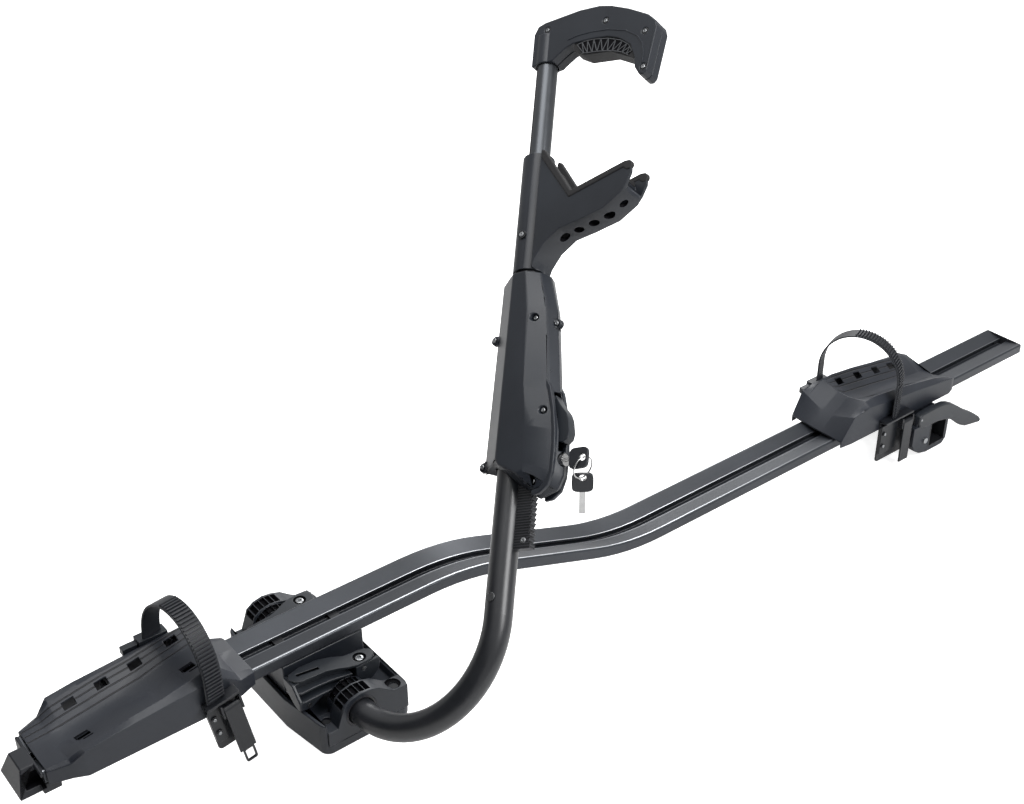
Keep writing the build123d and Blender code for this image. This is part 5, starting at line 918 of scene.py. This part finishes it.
# The crease's inner side lies nearer to a point in the hook's mouth
mouth_out, mouth_along, crease_width, crease_thickness = 0.080, 0.560, 0.0013, 0.0011
inner_crease = []
for out, along in crease:
    far = math.hypot(out - mouth_out, along - mouth_along)
    inner_crease.append((
        out - crease_width * (out - mouth_out) / far,
        along - crease_width * (along - mouth_along) / far,
    ))
ridge = prism(
    "hook_crease", crease + tuple(inner_crease[::-1]), arm_foot + side_way * crease_level,
    reach_way, tube_way, side_way, crease_thickness,
)
give(round_edges(ridge, 0.0003), foot_charcoal, "slider", "plastic_black")
dress(oxide, "hook_screws")
bright_heads("hook_screws", side_way, 0.0022, 0.0010, "slider", 9)

# The housing: two moulded halves that ride on the arm tube, with a lip round the release lever.
# Six zinc socket screws hold them: three sunk in the near half and three through its ears.
for node_name in ("housing_near", "housing_far"):
    half = softened(node_name, 0.0016, 3, 25)
    bpy.ops.object.shade_smooth_by_angle(angle=math.radians(52))
    give(half, foot_charcoal, "slider", "plastic_black", node_name)
lip_line = (
    (0.0420, 0.2260), (0.0475, 0.2170), (0.0530, 0.1960), (0.0568, 0.1720), (0.0580, 0.1500),
    (0.0572, 0.1310), (0.0530, 0.1180), (0.0440, 0.1110), (0.0350, 0.1100), (0.0350, 0.1150),
    (0.0430, 0.1165), (0.0495, 0.1230), (0.0530, 0.1330), (0.0535, 0.1600), (0.0500, 0.1900),
    (0.0440, 0.2130), (0.0400, 0.2200),
)
lip_thickness = 0.0045
for name, low in (("housing_lip_near", 0.0085), ("housing_lip_far", -0.0130)):
    lip = prism(name, lip_line, arm_foot + side_way * low, reach_way, tube_way, side_way, lip_thickness)
    give(round_edges(lip, 0.0011, 3), foot_charcoal, "slider", "plastic_black")
# The reach, the place along the tube, the height to the near side and the radius of each screw
heads = []
for out, along, high, radius in (
    (0.0248, 0.2900, 0.0148, 0.0024), (0.0366, 0.1230, 0.0135, 0.0024), (0.0422, 0.1925, 0.0135, 0.0024),
    (0.0420, 0.2860, 0.0033, 0.0023), (-0.0330, 0.1480, 0.0033, 0.0023), (-0.0330, 0.2809, 0.0033, 0.0023),
):
    spot = arm_foot + reach_way * out + tube_way * along + side_way * high
    heads.append(socket_head("housing_screw", spot, side_way, radius, 0.0012))
give(join_all("housing_screw_heads", heads), zinc, "slider", "steel", "housing_screws")
dress(bush_black, "guide_bushes")
dress(zinc, "slide_pin")
give(softened("release_trigger", 0.0008), lever_black, "trigger", "plastic_black", "release_trigger")
dress(oxide, "ratchet_pawl", "housing_pins")

# The lock: a die cast cylinder with a plated face, and two brass keys, one on a wire ring.
# The keys' black plastic heads are moulded on.
plated = metal(
    "plated_brass", (0.36, 0.36, 0.36), (0.50, 0.50, 0.50), (0.14, 0.28), 1,
    (2500.0, 90.0), (0.00002, 0.5, 0.0002),
)
dress(plated, "lock_cylinder", "key", "key_ring", "spare_key")


head_half, hole_radius = 0.0101, 0.0040
# The lift of each ring of corners from the head's middle, and how far it stands out
head_levels = ((-0.0018, 0.0), (-0.0013, 0.0002), (0.0013, 0.0002), (0.0018, 0.0))


def key_head(name, middle, long_way, wide_way, hole_out):
    """A key's black plastic head, square with round corners, with the hole for the ring."""
    through = long_way.cross(wide_way).normalized()
    form = bmesh.new()
    rings = []
    for lift, grow in head_levels:
        for half, power in ((head_half + grow, 0.46), (hole_radius - grow, 1.0)):
            ring = []
            for number in range(32):
                angle = math.tau * number / 32
                x, y = math.cos(angle), math.sin(angle)
                x = math.copysign(abs(x) ** power, x) * half
                y = math.copysign(abs(y) ** power, y) * half
                if power == 1.0:
                    x += hole_out
                ring.append(form.verts.new(middle + long_way * x + wide_way * y + through * lift))
            rings.append(ring)
    outer, inner = rings[0::2], rings[1::2]
    pairs = [(outer[0], inner[0]), (outer[3], inner[3])]
    pairs += list(zip(outer, outer[1:])) + list(zip(inner, inner[1:]))
    for first, second in pairs:
        for number in range(32):
            after = (number + 1) % 32
            form.faces.new((first[number], first[after], second[after], second[number]))
    head = piece_from(name, form)
    pick(head)
    bpy.ops.object.shade_smooth_by_angle(angle=math.radians(50))
    return head


key_along = 0.145
key_middle = arm_foot + reach_way * 0.0775 + tube_way * key_along
give(key_head("key_bow", key_middle, reach_way, tube_way, 0.0045), cap_black, "lock", "plastic_black")
spare_down = Vector((0, 0, -1))
spare_wide = spare_down.cross(Vector((0.61, 0.79, 0)))
ring_drop, spare_hole = 0.022, 0.0058
ring_top = arm_foot + reach_way * 0.082 + tube_way * key_along
spare_middle = ring_top + spare_down * (ring_drop + spare_hole)
spare_bow = key_head("spare_bow", spare_middle, spare_down, spare_wide, -spare_hole)
give(spare_bow, cap_black, "spare", "plastic_black")

# The studio: a plain pale floor, a white backdrop for the camera and three soft lights
floor_low = min(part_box(name)[0][2] for name in nodes) - 0.0005
bpy.ops.mesh.primitive_plane_add(size=14, location=(0.4, 0.6, floor_low))
floor = bpy.context.view_layer.objects.active
floor.name = "studio_floor"
paper, tree, shader = finish_material("studio_paper")
grain = use_group(tree, surface_grain, Scale=30.0, Cloud=2.0)
tree.links.new(
    mix_colour(tree, grain.outputs["Tone"], (0.74, 0.74, 0.74), (0.77, 0.77, 0.77)),
    shader.inputs["Base Color"],
)
shader.inputs["Roughness"].default_value = 0.9
shader.inputs["Specular IOR Level"].default_value = 0.0
glow = tree.nodes.new("ShaderNodeLightPath")
shader.inputs["Emission Color"].default_value = (1, 1, 1, 1)
tree.links.new(
    map_range(tree, glow.outputs["Is Camera Ray"], 0, 1, 0.0, 0.8),
    shader.inputs["Emission Strength"],
)
floor.data.materials.append(paper)

# A dark card beside the left end keeps the faces that look that way dark
bpy.ops.mesh.primitive_plane_add(size=1, location=(-0.95, -0.1, 0.45), rotation=(0, math.pi / 2, 0))
card = bpy.context.view_layer.objects.active
card.name = "dark_card"
card.scale = (1.5, 2.6, 1)
settle(card)
card.visible_camera = False
card_paper = moulded("card_paper", (0.004, 0.004, 0.004), (0.008, 0.008, 0.008), 0.9, 30.0, 0.00005, 0.0)
card.data.materials.append(card_paper)

# The camera sees white behind the part, and the faces are lit by a dimmer sky
sky_level = 0.64
world = bpy.context.scene.world or bpy.data.worlds.new("studio")
bpy.context.scene.world = world
world.use_nodes = True
sky = world.node_tree
background = sky.nodes["Background"]
background.inputs["Color"].default_value = (1, 1, 1, 1)
rays = sky.nodes.new("ShaderNodeLightPath").outputs
seen = add_math(sky, "MAXIMUM", rays["Is Camera Ray"], rays["Is Transmission Ray"])
sky.links.new(map_range(sky, seen, 0, 1, sky_level, 1), background.inputs["Strength"])

for name, spot, aim, size, power in (
    ("key_light", (0.9, -1.5, 1.7), (0.35, 0, 0.2), 1.0, 42),
    ("top_light", (0.1, 0.2, 2.4), (0.3, 0, 0.1), 1.4, 36),
    ("rim_light", (1.6, 1.3, 1.3), (0.4, 0, 0.2), 1.0, 26),
):
    lamp = bpy.data.lights.new(name, "AREA")
    lamp.shape = "SQUARE"
    lamp.size = size
    lamp.energy = power
    light = bpy.data.objects.new(name, lamp)
    light.location = spot
    light.rotation_euler = (Vector(aim) - Vector(spot)).to_track_quat("-Z", "Y").to_euler()
    bpy.context.scene.collection.objects.link(light)

# The camera stands where the photograph was taken from
lens = bpy.data.cameras.new("view")
lens.lens = 52.04
lens.sensor_width = 36
lens.clip_start = 0.05
lens.clip_end = 60
camera = bpy.data.objects.new("view", lens)
right = Vector((0.78635, -0.61772, -0.00863)).normalized()
back = Vector((-0.52213, -0.67200, 0.52517)).normalized()
up = back.cross(right).normalized()
camera.matrix_world = Matrix(
    (
        (right.x, up.x, back.x, -0.5326),
        (right.y, up.y, back.y, -1.0205),
        (right.z, up.z, back.z, 1.0379),
        (0, 0, 0, 1),
    )
)
bpy.context.scene.collection.objects.link(camera)
bpy.context.scene.camera = camera
bpy.context.scene.view_settings.view_transform = "Standard"
